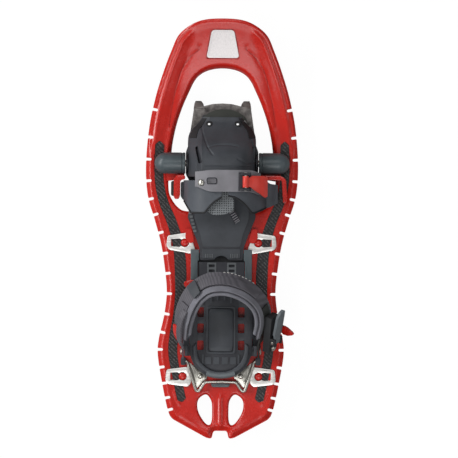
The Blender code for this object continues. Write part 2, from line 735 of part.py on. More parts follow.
def build_wings(frame, looks):
    def rear_edge(turn):
        x, _ = boot_arch(turn)
        lobe = 22 + 1.7 * max(-43 - x, 0) + 0.45 * max(x - 46, 0)
        return max(45.5 - 0.0214 * (x - 9) ** 2, lobe)

    left = arch_sheet(span(math.pi - 0.03, math.pi / 2 + 0.03, 14), lambda t: WING_FRONT, rear_edge, 0)
    piece("wing_left", slab(left, -SHEET), looks["cloth"], frame)
    right = arch_sheet(span(math.pi / 2 - 0.04, 0.12, 13), lambda t: WING_FRONT, rear_edge, 0)
    for x, z, front, rear in ((68, 42, 64, 31), (74, 38, 63, 34), (79, 37, 62, 37)):
        right.append([Vector((x, front + (rear - front) * j / 4, z)) for j in range(5)])
    piece("wing_right", slab(right, -SHEET), looks["cloth"], frame)
    tongue = arch_sheet(span(2.0, 1.4, 9), lambda t: 58, lambda t: 19 + 90 * (t - 1.7) ** 2, -6)
    piece("instep_tongue", slab(tongue, -2.5), looks["black"], frame)

    hook = [(51.6, 75), (83, 75), (90, 70), (92, 37), (86, 36.5), (84, 69), (51.6, 69)]
    piece("wing_clip_right", plate(rounded(hook, 3), [], 28, 47), looks["red"], frame)
    hook = [(-51.6, 75), (-51.6, 69.5), (-58.5, 68), (-58.5, 47), (-60.5, 41.5), (-66, 41.5), (-67.5, 45),
            (-67.5, 70), (-64, 75)]
    piece("wing_clip_left", plate(rounded(hook, 3), [], 29, 46), looks["red"], frame)


def build_toe_strap(frame, lever, looks):
    def front_edge(turn):
        return 81 - 4.5 * smooth((turn - 1.7) / 0.7) - 3 * smooth((1.1 - turn) / 0.5)

    def rear_edge(turn):
        return 52 + 3.5 * smooth((turn - 1.8) / 0.6) - 3 * smooth((1.1 - turn) / 0.5)

    grid = arch_sheet(span(2.2, 0.72, 15), front_edge, rear_edge, STRAP_LIFT)
    strap = piece("toe_strap", slab(grid, -SHEET), looks["strap"], frame)
    slot = rounded([(-19, 69), (-9, 69), (-9, 65), (-19, 65)], 1.5)
    combine(strap, plate(slot, [], 70, 110), "DIFFERENCE")
    x, z = boot_arch(2.02, STRAP_LIFT)
    far_x, far_z = boot_arch(2.07, STRAP_LIFT)
    along = Vector((far_x - x, 0, far_z - z)).normalized()
    out = Vector((-along.z, 0, along.x)) * (1 if along.x > 0 else -1)
    piece("strap_rivet", dome(Vector((x, 64.5, z)) + out * 0.5, out, 4.6, 2.4), looks["steel"], frame)
    seat, ahead, up = toe_buckle_frame()

    def at(along, across, height):
        return seat + ahead * along + Vector((0, across, 0)) + up * height

    def slab_box(a0, a1, b0, b1, h0, h1):
        corners = ((b0, h0), (b1, h0), (b1, h1), (b0, h1))
        return loft([[at(a, b, h) for b, h in corners] for a in (a0, a1)])

    buckle = piece("toe_buckle", slab_box(-9, 9, -13, 13, 1.2, 2.9), looks["dark"], frame)
    combine(buckle, merged([slab_box(-6, 6, b, b + 3.4, 2, 11) for b in (-12.6, 9.2)]), "UNION")
    combine(buckle, rod(at(0, -16, 7.5), at(0, 16, 7.5), 2.4, 16), "DIFFERENCE")
    piece("toe_buckle_pin", rod(at(0, -13, 7.5), at(0, 13, 7.5), 2, 16), looks["steel"], frame)

    edges = [(-3, 6, -7), (6, 6, -7), (9, 8.5, -9), (15, 8.5, -13), (21, 8.5, -16), (27, 8.5, -20),
             (31, 8, -22), (35, 6, -20)]
    rings = []
    for a, front, rear in edges:
        top = 9.6 - 0.012 * max(a, 0) ** 2
        rings.append([at(a, rear, top - 3.6), at(a, front, top - 3.6), at(a, front, top), at(a, rear, top)])
    made = piece("toe_lever", loft(rings), looks["red"], lever)
    combine(made, rod(at(0, -8, 7.5), at(0, 8, 7.5), 4.2, 20), "UNION")
    combine(made, rod(at(0, -16, 7.5), at(0, 16, 7.5), 2.4, 16), "DIFFERENCE")


def toe_buckle_frame():
    """Where the toe buckle sits on the strap, with the directions along the strap and out of it."""
    x, z = boot_arch(TOE_BUCKLE_TURN, STRAP_LIFT)
    near_x, near_z = boot_arch(TOE_BUCKLE_TURN + 0.08, STRAP_LIFT)
    ahead = Vector((x - near_x, 0, z - near_z)).normalized()
    return Vector((x, 66, z)), ahead, Vector((-ahead.z, 0, ahead.x))


def toe_lever_axis():
    seat, _, up = toe_buckle_frame()
    return seat + up * 7.5


# The heel carriage


def build_heel(frame, lock, looks):
    half = [(30, -86), (44, -92), (44, -160), (43, -178), (38, -191), (30, -200), (18, -207.5)]
    corners = [*[Vector(p) for p in half], *mirrored([Vector(p) for p in half[1:]]), Vector((-46, -72)),
               Vector((-30, -70)), Vector((-28, -86))]
    windows = []
    for side in (1, -1):
        for front, rear in ((-110, -124), (-133, -146), (-157, -170)):
            near, far = side * 24, side * 33
            windows.append(rounded([(near, rear), (far, rear), (far, front), (near, front)], 2))
    sole = plate(rounded(corners, 4, 2), windows, HEEL_LOW, HEEL_HIGH)
    plate_piece = piece("heel_plate", sole, looks["dark"], frame)
    ears, lips = [], []
    for side in (1, -1):
        x0, x1, x2 = side * 40, side * EAR_IN, side * EAR_OUT
        profile = [(x0, 34.6), (x2, 34.6), (x2, 53), (x1, 53), (x1, 37), (x0, 37)]
        ears.append(loft([[Vector((x, y, z)) for x, z in profile] for y in (-178.5, -164)]))
        x0, x1 = sorted((side * 43.6, side * 46.6))
        lips.append(block((x0, -154, 26), (x1, -96, 35)))
    post = lathe([(0, 0), (0, 2.7), (10.5, 2.7), (10.5, 0)], (LOCK_X, LOCK_Y, 34), (0, 0, 1), 16)
    combine(plate_piece, merged([*ears, *lips, post]), "UNION")

    cup = [Vector(p) for p in ((40, -166), (38.5, -180), (32.5, -193), (18, -203.5))]
    outer = spline([*cup, Vector((0, -206.5)), *mirrored(cup)], 8)
    inner = [Vector((p.x * 0.86, p.y + 6)) for p in reversed(outer)]
    piece("heel_cup", plate(outer + inner, [], HEEL_HIGH + 0.3, HEEL_HIGH + 5), looks["grey"], frame)
    pad = rounded([(-17, -172), (17, -172), (17, -112), (-17, -112)], 6)
    piece("heel_pad", plate(pad, [], HEEL_HIGH + 0.3, HEEL_HIGH + 2.3), looks["black"], frame)
    for side, word in ((1, "right"), (-1, "left")):
        head = dome((side * (EAR_OUT + 3.8), ANKLE_Y, ANKLE_Z), (side, 0, 0), 5, 2.4)
        piece(f"ankle_rivet_{word}", head, looks["steel"], frame)

    bar = rounded([(-33, -73), (-42, -71.5), (-50, -73), (-53, -77), (-50.5, -82.5), (-42, -84), (-33, -83)], 3)
    lever_plate = plate(bar, [disc(LOCK_X, LOCK_Y, 3.2)], HEEL_HIGH + 0.4, HEEL_HIGH + 4.6)
    piece("length_lock_lever", lever_plate, looks["red"], lock)


# The ankle harness


def ring_frames(step=7):
    """Stations along the band: point, direction along it, outward direction, direction across its width."""
    line = spline([point[:3] for point in RING], step)
    total = len(line) - 1
    middle = Vector((0, -128, 70))
    frames = []
    for index, point in enumerate(line):
        ahead = (line[min(index + 1, total)] - line[max(index - 1, 0)]).normalized()
        inward = Vector((middle.x - point.x, middle.y - point.y, 0))
        inward = (inward - ahead * inward.dot(ahead)).normalized()
        lean = math.radians(lean_at(point))
        wide = Vector((0, 0, math.cos(lean))) + inward * math.sin(lean)
        wide = (wide - ahead * wide.dot(ahead)).normalized()
        out = ahead.cross(wide)
        if out.dot(inward) > 0:
            out = -out
        frames.append((point, ahead, out, wide))
    return frames


def lean_at(point):
    """The lean between the two stations nearest to the point."""
    gaps = sorted(((Vector(station[:3]) - point).length, station[3]) for station in RING)
    (first, near), (second, far) = gaps[:2]
    return near + (far - near) * first / (first + second)


def ring_sheet(frames, lift, half, columns):
    """A grid on the band's surface raised by a lift, with half widths as a function of the share along it."""
    grid = []
    for index, (point, _, out, wide) in enumerate(frames):
        reach = half(index / (len(frames) - 1))
        grid.append([point + out * lift + wide * (reach * (2 * j / (columns - 1) - 1)) for j in range(columns)])
    return grid


def build_ankle(frame, lever, release, looks):
    frames = ring_frames()
    count = len(frames)
    first, last = round(count * 0.09), round(count * 0.92)
    body_frames = frames[first:last]

    def band_half(share):
        return BAND_HALF * (0.62 + 0.38 * math.sin(math.pi * min(max(share, 0), 1)) ** 0.5)

    piece("ankle_band", slab(ring_sheet(body_frames, 0, band_half, 4), BAND), looks["ring"], frame)

    pad_frames = body_frames[1:-1]
    columns = 9

    def crown(i, j):
        across = 2 * j / (columns - 1) - 1
        end = min(i, len(pad_frames) - 1 - i) / 2.5
        return 2 + 6.5 * (1 - across ** 4) * smooth(0.25 + end)

    pad = ring_sheet(pad_frames, -BAND - 0.5, lambda share: band_half(share) + 1.5, columns)
    piece("ankle_pad", slab(pad, crown), looks["black"], frame)

    reach = round(count * 0.27)
    for word, part in (("right", frames[:reach]), ("left", frames[count - reach:])):
        end = part[0] if word == "right" else part[-1]
        tip = (end[0] + Vector((0, -6.5, -4)), *end[1:])
        part = [tip, *part] if word == "right" else [*part, tip]
        strap = piece(f"anchor_strap_{word}", slab(ring_sheet(part, 3, lambda share: 7.5, 3), 2.4), looks["olive"],
                      frame)
        hole = rod((EAR_OUT - 2 if word == "right" else -EAR_OUT + 2, ANKLE_Y, ANKLE_Z),
                   (62 if word == "right" else -62, ANKLE_Y, ANKLE_Z), 2.6, 12)
        combine(strap, hole, "DIFFERENCE")

    front = frames[round(count * 0.32):round(count * 0.66)]
    piece("ladder_strap", slab(ring_sheet(front, 3.2, lambda share: 7, 3), 2.4), looks["strap"], frame)
    keeper = frames[round(count * 0.6):round(count * 0.6) + 3]
    piece("strap_keeper", slab(ring_sheet(keeper, 6.6, lambda share: 12, 3), 2.6), looks["dark"], frame)
    slider = frames[round(count * 0.83):round(count * 0.83) + 4]
    piece("strap_slider", slab(ring_sheet(slider, 7.2, lambda share: 8.5, 3), 3.4), looks["red"], frame)

    seat, ahead, up, side = buckle_frame()

    def at(along, across, height):
        return seat + ahead * along + side * across + up * height

    def bar(a0, a1, b0, b1, h0, h1):
        corners = ((b0, h0), (b1, h0), (b1, h1), (b0, h1))
        return loft([[at(a, b, h) for b, h in corners] for a in (a0, a1)])

    base = piece("ratchet_base", bar(-41, 14, -9.5, 9.5, 4.2, LEVER_UP - 4), looks["black"], frame)
    walls = []
    for b in (-9.4, 6.4):
        walls.append(bar(LEVER_ALONG - 5, LEVER_ALONG + 6, b, b + 3, LEVER_UP - 6, LEVER_UP + 4.5))
    walls.append(bar(RELEASE_ALONG - 6, RELEASE_ALONG + 6, 8, 17.4, RELEASE_UP - 7, RELEASE_UP - 4))
    combine(base, merged(walls), "UNION")
    ears = []
    for b in (9.2, 15.6):
        ears.append(bar(RELEASE_ALONG - 4, RELEASE_ALONG + 4, b, b + 1.7, RELEASE_UP - 5.4, RELEASE_UP + 3.6))
    combine(base, merged(ears), "UNION")

    def lever_rod(half, radius, sides=16):
        return rod(at(LEVER_ALONG, -half, LEVER_UP), at(LEVER_ALONG, half, LEVER_UP), radius, sides)

    def release_rod(start, end, radius, sides=16):
        return rod(at(RELEASE_ALONG, start, RELEASE_UP), at(RELEASE_ALONG, end, RELEASE_UP), radius, sides)

    combine(base, lever_rod(14, 2.4), "DIFFERENCE")
    combine(base, release_rod(8, 20, 1.9), "DIFFERENCE")
    piece("ratchet_pin", lever_rod(9.5, 2), looks["steel"], frame)
    piece("release_pin", release_rod(9.3, 17.2, 1.5), looks["steel"], frame)
    screw = dome(at(-35.5, 0, LEVER_UP - 3.7), up, 3.4, 1.8, 16, 0.5)
    piece("ratchet_screw", screw, looks["steel"], frame)

    half = [(-2, 6), (9, 6), (13, 8.6), (41, 8), (49, 5.5)]
    outline = [*half, (52, 0), *[(a, -b) for a, b in reversed(half)]]
    rings = []
    for low in (-0.6, 3.2):
        curl = [LEVER_UP + low + 0.0035 * max(a - 13, 0) ** 2 for a, _ in outline]
        rings.append([at(LEVER_ALONG + a, b, height) for (a, b), height in zip(outline, curl)])
    made = piece("ratchet_lever", loft(rings), looks["grey"], lever)
    combine(made, lever_rod(5.9, 3.9, 20), "UNION")
    combine(made, lever_rod(14, 2.4), "DIFFERENCE")

    profile = [(-7, 5), (-2.6, -0.4), (2.6, -0.4), (6, 5), (5, 11), (1.5, 19), (-0.5, 21.5), (-3, 20.5),
               (-6.5, 13)]
    sides = [[at(RELEASE_ALONG + a, b, RELEASE_UP + h) for a, h in profile] for b in (11.6, 14.9)]
    made = piece("ratchet_release", loft(sides), looks["red"], release)
    combine(made, release_rod(11.3, 15.2, 3.2), "UNION")
    combine(made, release_rod(8, 20, 1.9), "DIFFERENCE")


def buckle_frame():
    """Seat, forward, outward and sideways directions of the ratchet buckle on the right of the band."""
    frames = ring_frames()
    point, ahead, out, _ = min(frames, key=lambda station: (station[0] - Vector(RING[3][:3])).length)
    return point, ahead, out, ahead.cross(out)


def build():
    clear_scene()
    looks = {
        "red": finish("red_plastic", (0.52, 0.055, 0.045), 0.35),
        "silver": finish("badge_silver", (0.68, 0.66, 0.66), 0.3, 0.3),
        "carbon": finish("carbon_weave", (0.035, 0.033, 0.034), 0.3),
        "bright": finish("bright_steel", (0.6, 0.59, 0.57), 0.28, 0.9),
        "steel": finish("dull_steel", (0.42, 0.42, 0.41), 0.35, 0.9),
        "worn": finish("crampon_steel", (0.2, 0.185, 0.175), 0.45, 0.6),
        "grey": finish("grey_plastic", (0.085, 0.1, 0.11), 0.45),
        "dark": finish("dark_plastic", (0.045, 0.047, 0.053), 0.5),
        "slate": finish("slate_plastic", (0.055, 0.06, 0.07), 0.5),
        "strap": finish("strap_plastic", (0.2, 0.2, 0.215), 0.5),
        "cloth": finish("wing_cloth", (0.07, 0.078, 0.085), 0.75),
        "ring": finish("band_plastic", (0.11, 0.11, 0.125), 0.55),
        "black": finish("black_foam", (0.013, 0.013, 0.012), 0.8),
        "olive": finish("anchor_webbing", (0.04, 0.045, 0.04), 0.6),
    }
    deck = body("deck_body", (0, 0, 0))
    binding = body("binding_body", (0, AXLE_Y, AXLE_Z), deck)
    toe_lever = body("toe_lever_body", tuple(toe_lever_axis()), binding)
    heel = body("heel_body", (0, ANKLE_Y, HEEL_LOW), binding)
    lock = body("length_lock_body", (LOCK_X, LOCK_Y, HEEL_HIGH), heel)
    ankle = body("ankle_body", (0, ANKLE_Y, ANKLE_Z), heel)
    seat, ahead, up, _ = buckle_frame()
    ratchet = body("ratchet_body", tuple(seat + ahead * LEVER_ALONG + up * LEVER_UP), ankle)
    release = body("release_body", tuple(seat + ahead * RELEASE_ALONG + up * RELEASE_UP), ankle)
    lifter = body("lifter_body", (0, LIFTER_Y, LIFTER_Z), deck)

    build_deck(deck, looks)
    build_deck_fittings(deck, looks)
    build_lifter(lifter, looks)
    build_base(binding, looks)
    build_front_crampon(binding, looks)
    build_toe_cap(binding, looks)
    build_wings(binding, looks)
    build_toe_strap(binding, toe_lever, looks)
    build_heel(heel, lock, looks)
    build_ankle(ankle, ratchet, release, looks)


build()
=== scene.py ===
"""Looks for a snowshoe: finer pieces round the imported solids, materials, light and a camera above."""

import json
import math

import bmesh
import bpy
import numpy as np
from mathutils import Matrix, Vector
from mathutils.geometry import delaunay_2d_cdt

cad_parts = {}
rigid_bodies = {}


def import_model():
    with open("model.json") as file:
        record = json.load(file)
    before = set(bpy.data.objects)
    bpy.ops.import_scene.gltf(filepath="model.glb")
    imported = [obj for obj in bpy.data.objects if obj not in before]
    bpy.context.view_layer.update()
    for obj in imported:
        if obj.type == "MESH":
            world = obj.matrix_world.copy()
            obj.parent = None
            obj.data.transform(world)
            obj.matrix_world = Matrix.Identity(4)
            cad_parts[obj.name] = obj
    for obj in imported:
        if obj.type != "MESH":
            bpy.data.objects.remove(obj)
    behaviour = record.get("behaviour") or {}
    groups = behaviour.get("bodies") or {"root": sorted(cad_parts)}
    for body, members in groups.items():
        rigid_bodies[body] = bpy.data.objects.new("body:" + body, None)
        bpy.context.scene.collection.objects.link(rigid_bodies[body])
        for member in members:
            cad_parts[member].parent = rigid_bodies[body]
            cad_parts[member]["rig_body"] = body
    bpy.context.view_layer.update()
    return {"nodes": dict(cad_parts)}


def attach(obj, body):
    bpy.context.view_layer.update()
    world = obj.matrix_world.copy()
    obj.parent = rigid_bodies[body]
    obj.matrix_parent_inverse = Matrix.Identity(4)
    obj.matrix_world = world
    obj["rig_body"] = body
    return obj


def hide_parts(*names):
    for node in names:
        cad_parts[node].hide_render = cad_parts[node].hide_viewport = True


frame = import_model()
NODES = frame["nodes"]
MM = 0.001
SIDES = ((1, "right"), (-1, "left"))

# Heights and shared lines, in millimetres

DECK_BOTTOM, DECK_TOP, BRACKET_HIGH = 17, 23, 26.4
NOSE_RISE, NOSE_FROM, NOSE_REACH = 40, 150, 145
TAIL_RISE, TAIL_FROM, TAIL_REACH = 7, -240, 55
AXLE_Y, AXLE_Z = 92, 34
LIFTER_Y, LIFTER_Z, WIRE_BEND, WIRE_RADIUS = -186, 29, 3.4, 2.2
RIVET_SEAT, RIVET_RADIUS, RIVET_HEIGHT = 23.9, 5.4, 3.6
BASE_HIGH, RACK_HIGH, HEEL_HIGH = 31, 29.5, 38
ARCH_MID, ARCH_HALF, ARCH_HEIGHT, ARCH_POWER = 4, 58, 60, 0.77
WING_FRONT, STRAP_LIFT = 68, 4.5
TOE_HOLES, TOE_HOLE_Y = (-18.5, 21.5), 147

DECK_SIDE = [(34, 291), (60, 274), (72.5, 249), (85, 215), (95, 181), (103, 140), (107, 88), (104, 46),
             (94, 12), (85, -21), (79.5, -55), (76.5, -89), (80, -122), (87, -154), (88.5, -177),
             (82.5, -215), (75.5, -249), (71, -263)]
TAIL = [(67, -268), (19, -294), (12, -295), (9.5, -284)]
TOE_OPENING = [(13, 224.3), (25, 220.5), (34.5, 214), (40.5, 206), (44.5, 198), (55.5, 173), (64, 147.5),
               (69.5, 122), (72, 100), (75, 75), (74.5, 52), (69, 39), (61, 29.5), (52, 25), (30, 24)]
TAIL_HOLE = [(20, -233), (29.8, -238.4), (32.5, -248.3), (29.8, -260), (21.6, -272.6), (15.5, -275.8),
             (12.2, -270.7), (11.5, -256.4), (12.8, -242)]
NOTCH_PLACES = [167.8, 128.7, 97.5, 66.9, 40.9, 18.7, -6.5, -35.3, -63.4, -91.5, -119.6, -145.3, -170, -195.4,
                -218, -238.4, -255.4]
NOTCH_DEPTH, NOTCH_HALF, NOTCH_LIP = 7.5, 1.9, 0.7
INLAY_CENTRE = [(88, 118), (88.5, 92), (88, 66), (82, 38), (70, 9), (62, -18), (58, -45), (57, -88),
                (60, -120), (66, -152), (67, -179), (58.5, -222), (54.5, -240)]
INLAY_HALF, INLAY_SWELL, SWELL_Y, SWELL_REACH = 6, 2, -60, 70
FRONT_BRACKET = [(46.3, -5.2), (75.9, -9.7), (77.3, -24.4), (73.9, -29.6), (42.4, -35.3), (36.4, -30.3),
                 (40.3, -19.5)]
REAR_BRACKET = [(46, -194), (76, -198), (77.5, -214), (74, -218.5), (46, -222), (41, -216), (43, -205)]
BRACKET_BOSS = [(42.5, 0), (50, 0), (51, -13), (46, -20.5), (38.5, -19), (39.8, -10)]
CREASE = [(33, 256), (33.5, 251), (45, 241.5), (58, 222), (66.5, 192), (71.5, 167), (75, 142)]
TAIL_RIDGE = [(65, -229), (58, -247)]
AXLE_SHELF = [(52.8, 72.5), (52.8, 79.5), (79, 81), (79, 66.5), (62, 69)]
RACK_HALF = [(22, -152), (22, -106), (32.2, -100), (32.2, -46.6)]

# The ankle ring's stations: place, and the lean of the band in degrees
RING = [(51.2, -172, 46, 0), (52, -162, 52, 4), (58, -148, 60, 22), (63, -130, 70, 30), (60, -110, 80, 36),
        (48, -92.5, 88, 42), (29, -80, 94, 48), (6, -73.5, 97, 52), (-18, -75.5, 95, 53), (-35, -86, 90, 52),
        (-46.5, -101, 82, 50), (-54, -121, 73, 46), (-56.5, -142, 63, 34), (-52, -162, 52, 4),
        (-51.2, -172, 46, 0)]
RING_MIDDLE = Vector((0, -128))
RATCHET_STATION = 3

# Heights of the deck's top by distance from its edge: along the sides, the nose's arms, the tail and the nose
SIDE_PROFILE = [(0, -4), (1.2, -2.6), (6, 1.2), (7.4, 1.7), (9, 1.1), (15, 0.1), (60, 0)]
ARM_PROFILE = [(0, -3.4), (1, -2), (3.4, 0.2), (5, -0.4), (9.6, 1.9), (10.8, 2.2), (12.2, 1.5), (24, -1.2),
               (36, -0.4), (60, 0)]
TAIL_PROFILE = [(0, -6), (1.2, -4.6), (7.2, 0.2), (8.4, 0.5), (10, 0.2), (16, 0), (60, 0)]
NOSE_PROFILE = [(0, -3.6), (1.2, -2), (5, -0.3), (14, 0.2), (30, 0), (60, 0)]


# Lines and distances


def smooth(value, start=0, reach=1):
    """From nothing at the start to one at a reach from it, which may be negative."""
    share = np.clip((value - start) / reach, 0, 1)
    return share * share * (3 - 2 * share)


def hump(gap, width):
    return np.exp(-(gap / width) ** 2)


def eased_edge(gap, reach):
    """One at an edge, easing to nothing at a reach from it."""
    return 1 - np.sin(np.clip(gap / reach, 0, 1) * math.pi / 2)


def span(start, end, count):
    return [start + (end - start) * i / (count - 1) for i in range(count)]


def looped(points):
    """Each point with the next one, and the last with the first."""
    return zip(points, [*points[1:], points[0]])


def triples(loop):
    """Each point of a loop between its neighbours."""
    return zip([loop[-1], *loop], loop, [*loop[1:], loop[0]])


def headings(line, closed=False):
    """The way ahead at each point of a line."""
    around = [line[-1], *line, line[0]] if closed else [line[0], *line, line[-1]]
    return [(after - before).normalized() for before, after in zip(around, around[2:])]


def spline(points, step, closed=False):
    """A smooth line through the points, cut into parts of about a step."""
    points = [Vector(point) for point in points]
    around = [points[-1], *points, *points[:2]] if closed else [points[0], *points, points[-1]]
    made = []
    for first, start, end, last in zip(around, around[1:], around[2:], around[3:]):
        parts = max(1, round((end - start).length / step))
        bend = 2 * first - 5 * start + 4 * end - last
        twist = 3 * start - first - 3 * end + last
        for part in range(parts):
            t = part / parts
            made.append(start + 0.5 * ((end - first) * t + bend * t * t + twist * t ** 3))
    return made if closed else [*made, points[-1]]


def mirrored(points):
    return [Vector((-point[0], point[1])) for point in reversed(points)]


def flipped(points, side):
    return [Vector((point[0] * side, point[1])) for point in points]


def box(x0, x1, y0, y1):
    return [(x0, y0), (x1, y0), (x1, y1), (x0, y1)]


def inside(points, loop):
    """For each row of an array of points, whether it lies in the loop."""
    x, y = points[:, 0], points[:, 1]
    found = np.zeros(len(points), bool)
    for a, b in looped(loop):
        if a[1] != b[1]:
            found ^= ((a[1] > y) != (b[1] > y)) & (x < (b[0] - a[0]) * (y - a[1]) / (b[1] - a[1]) + a[0])
    return found


def distance(points, line, closed=True):
    """The least distance of each point to the line."""
    best = np.full(len(points), np.inf)
    for a, b in looped(line) if closed else zip(line, line[1:]):
        a, b = np.array(a[:2], float), np.array(b[:2], float)
        way = b - a
        along = np.clip((points - a) @ way / max(way @ way, 1e-9), 0, 1)
        best = np.minimum(best, np.hypot(*(points - a - along[:, None] * way).T))
    return best


def offset(loop, gap):
    """The loop moved outward by a gap."""
    sign = 1 if sum(a[0] * b[1] - a[1] * b[0] for a, b in looped(loop)) > 0 else -1
    made = []
    for before, here, after in triples(loop):
        first, second = (here - before).normalized(), (after - here).normalized()
        normal = Vector((first.y + second.y, -first.x - second.x)).normalized()
        spread = max(0.5, normal.dot(Vector((first.y, -first.x))))
        made.append(here + normal * (sign * gap / spread))
    return made


def corner_arc(before, corner, after, radius, count):
    corner = Vector(corner)
    back, ahead = Vector(before) - corner, Vector(after) - corner
    cut = min(radius, back.length / 2.2, ahead.length / 2.2)
    start, end = corner + back.normalized() * cut, corner + ahead.normalized() * cut
    return [start * (1 - t) ** 2 + corner * (2 * t * (1 - t)) + end * t * t for t in span(0, 1, count + 1)]


def rounded(corners, radius, count=4):
    return [point for corner in triples(corners) for point in corner_arc(*corner, radius, count)]


def rounded_path(points, radius, count=4):
    bends = zip(points, points[1:], points[2:])
    arcs = [point for bend in bends for point in corner_arc(*bend, radius, count)]
    return [Vector(points[0]), *arcs, Vector(points[-1])]


def hoop(middle, first, second, radius, sides):
    """Points round a circle in the plane of two directions."""
    turns = [math.tau * i / sides for i in range(sides)]
    return [middle + (first * math.cos(t) + second * math.sin(t)) * radius for t in turns]


def thinned(points, gap):
    """The points, with only the first of those that share a cell of a grid."""
    taken = {}
    for point in points:
        taken.setdefault((round(point[0] / gap), round(point[1] / gap)), Vector(point))
    return list(taken.values())


# Solids, in millimetres


def plate(outline, low, high, holes=(), inner=(), regions=()):
    """A closed plate; regions are (loop, height function) pairs whose top differs, with a wall round them."""
    flat, edges = [], []
    for loop in (outline, *holes, *[loop for loop, _ in regions]):
        start, count = len(flat), len(loop)
        flat += [Vector(point[:2]) for point in loop]
        edges += [(start + i, start + (i + 1) % count) for i in range(count)]
    flat += [Vector(point[:2]) for point in inner]
    found = delaunay_2d_cdt(flat, edges, [], 0, 1e-5)
    points, faces = np.array([tuple(point) for point in found[0]]), found[2]
    middles = np.array([points[list(face)].mean(0) for face in faces])
    kept = inside(middles, outline)
    for hole in holes:
        kept &= ~inside(middles, hole)
    kinds = np.zeros(len(faces), int)
    for number, (loop, _) in enumerate(regions, 1):
        kinds[inside(middles, loop)] = number

    def heights(level):
        return level(points) if callable(level) else np.full(len(points), float(level))

    lows, tops = heights(low), [heights(high)]
    tops += [level(points, tops[0]) for _, level in regions]
    bm = bmesh.new()
    upper, lower, owners = {}, {}, {}
    for number in np.nonzero(kept)[0]:
        face, kind = faces[number], kinds[number]
        for i in face:
            if (i, kind) not in upper:
                upper[i, kind] = bm.verts.new((*points[i], tops[kind][i]))
            if i not in lower:
                lower[i] = bm.verts.new((*points[i], lows[i]))
        bm.faces.new([upper[i, kind] for i in face])
        bm.faces.new([lower[i] for i in reversed(face)])
        for a, b in looped(face):
            owners.setdefault((min(a, b), max(a, b)), []).append((a, b, kind))
    for uses in owners.values():
        a, b, kind = uses[0]
        if len(uses) == 1:
            bm.faces.new((upper[b, kind], upper[a, kind], lower[a], lower[b]))
        elif uses[1][2] != kind:
            other = uses[1][2]
            bm.faces.new((upper[b, kind], upper[a, kind], upper[a, other], upper[b, other]))
    return bm


def block(corners, radius, low, high):
    """A plate with rounded corners."""
    return plate(rounded(corners, radius), low, high)


def loft(rings, closed=False):
    """A solid through rings of points; a ring of one point closes an end."""
    bm = bmesh.new()
    made = [[bm.verts.new(point) for point in ring] for ring in rings]
    sides = max(len(ring) for ring in rings)
    for near, far in looped(made) if closed else zip(made, made[1:]):
        for i in range(sides):
            j = (i + 1) % sides
            corners = [near[i % len(near)], near[j % len(near)], far[j % len(far)], far[i % len(far)]]
            bm.faces.new(list(dict.fromkeys(corners)))
    for ring in () if closed else (made[0], made[-1]):
        if len(ring) > 1:
            bm.faces.new(ring)
    return bm


def cross_frame(axis):
    """Two directions across an axis and each other."""
    side = Vector((0, 0, 1)) if abs(axis.z) < 0.9 else Vector((0, 1, 0))
    first = axis.cross(side).normalized()
    return first, axis.cross(first)


def lathe(profile, centre, axis, sides=48):
    """A turned solid from stations of (place along the axis, radius)."""
    axis = Vector(axis).normalized()
    rings = []
    for along, radius in profile:
        middle = Vector(centre) + axis * along
        rings.append(hoop(middle, *cross_frame(axis), radius, sides) if radius else [middle])
    return loft(rings)


def dome(centre, axis, radius, height):
    """A rivet head: a cap over a short wall."""
    wall = 0.6
    arc = [(wall + (height - wall) * math.sin(a), radius * math.cos(a)) for a in span(0, 1.4, 7)]
    return lathe([(0, 0), (0, radius), *arc, (height, 0)], centre, axis, 32)


def tube(path, radius, sides, closed=False):
    ways = headings(path, closed)
    side = cross_frame(ways[0])[0]
    rings = []
    for point, ahead in zip(path, ways):
        side = (side - ahead * side.dot(ahead)).normalized()
        rings.append(hoop(point, side, ahead.cross(side), radius, sides))
    return loft(rings, closed)


def grid_normals(grid):
    along = [headings(column) for column in zip(*grid)]
    return [[along[j][i].cross(across).normalized() for j, across in enumerate(headings(row))]
            for i, row in enumerate(grid)]


def slab(grid, depth):
    """A closed sheet on a grid: its depth, or depth(row share, column share), goes against the normals."""
    rows, cols = len(grid), len(grid[0])
    normals = grid_normals(grid)
    bm = bmesh.new()
    outer, inner = {}, {}
    for i in range(rows):
        for j in range(cols):
            deep = depth(i / (rows - 1), j / (cols - 1)) if callable(depth) else depth
            outer[i, j] = bm.verts.new(grid[i][j])
            inner[i, j] = bm.verts.new(grid[i][j] - normals[i][j] * deep)
    for i in range(rows - 1):
        for j in range(cols - 1):
            corners = [(i, j), (i + 1, j), (i + 1, j + 1), (i, j + 1)]
            bm.faces.new([outer[c] for c in corners])
            bm.faces.new([inner[c] for c in reversed(corners)])
    rim = [(i, 0) for i in range(rows)] + [(rows - 1, j) for j in range(1, cols)]
    rim += [(i, cols - 1) for i in range(rows - 2, -1, -1)] + [(0, j) for j in range(cols - 2, 0, -1)]
    for a, b in looped(rim):
        bm.faces.new((outer[b], outer[a], inner[a], inner[b]))
    return bm


def carved(grid, lines, depth, width):
    """The grid with grooves pressed into it along lines given in plan."""
    normals = grid_normals(grid)
    flat = np.array([(point.x, point.y) for row in grid for point in row])
    press = sum(depth * hump(distance(flat, line, False), width) for line in lines).reshape(len(grid), -1)
    return [[point - normals[i][j] * float(press[i, j]) for j, point in enumerate(row)]
            for i, row in enumerate(grid)]


def merged(parts):
    whole = bmesh.new()
    for part in parts:
        bmesh.ops.recalc_face_normals(part, faces=part.faces)
        copies = {vert: whole.verts.new(vert.co) for vert in part.verts}
        for face in part.faces:
            whole.faces.new([copies[vert] for vert in face.verts])
        part.free()
    return whole


def placed(name, data):
    """An object linked into the scene."""
    obj = bpy.data.objects.new(name, data)
    bpy.context.scene.collection.objects.link(obj)
    return obj


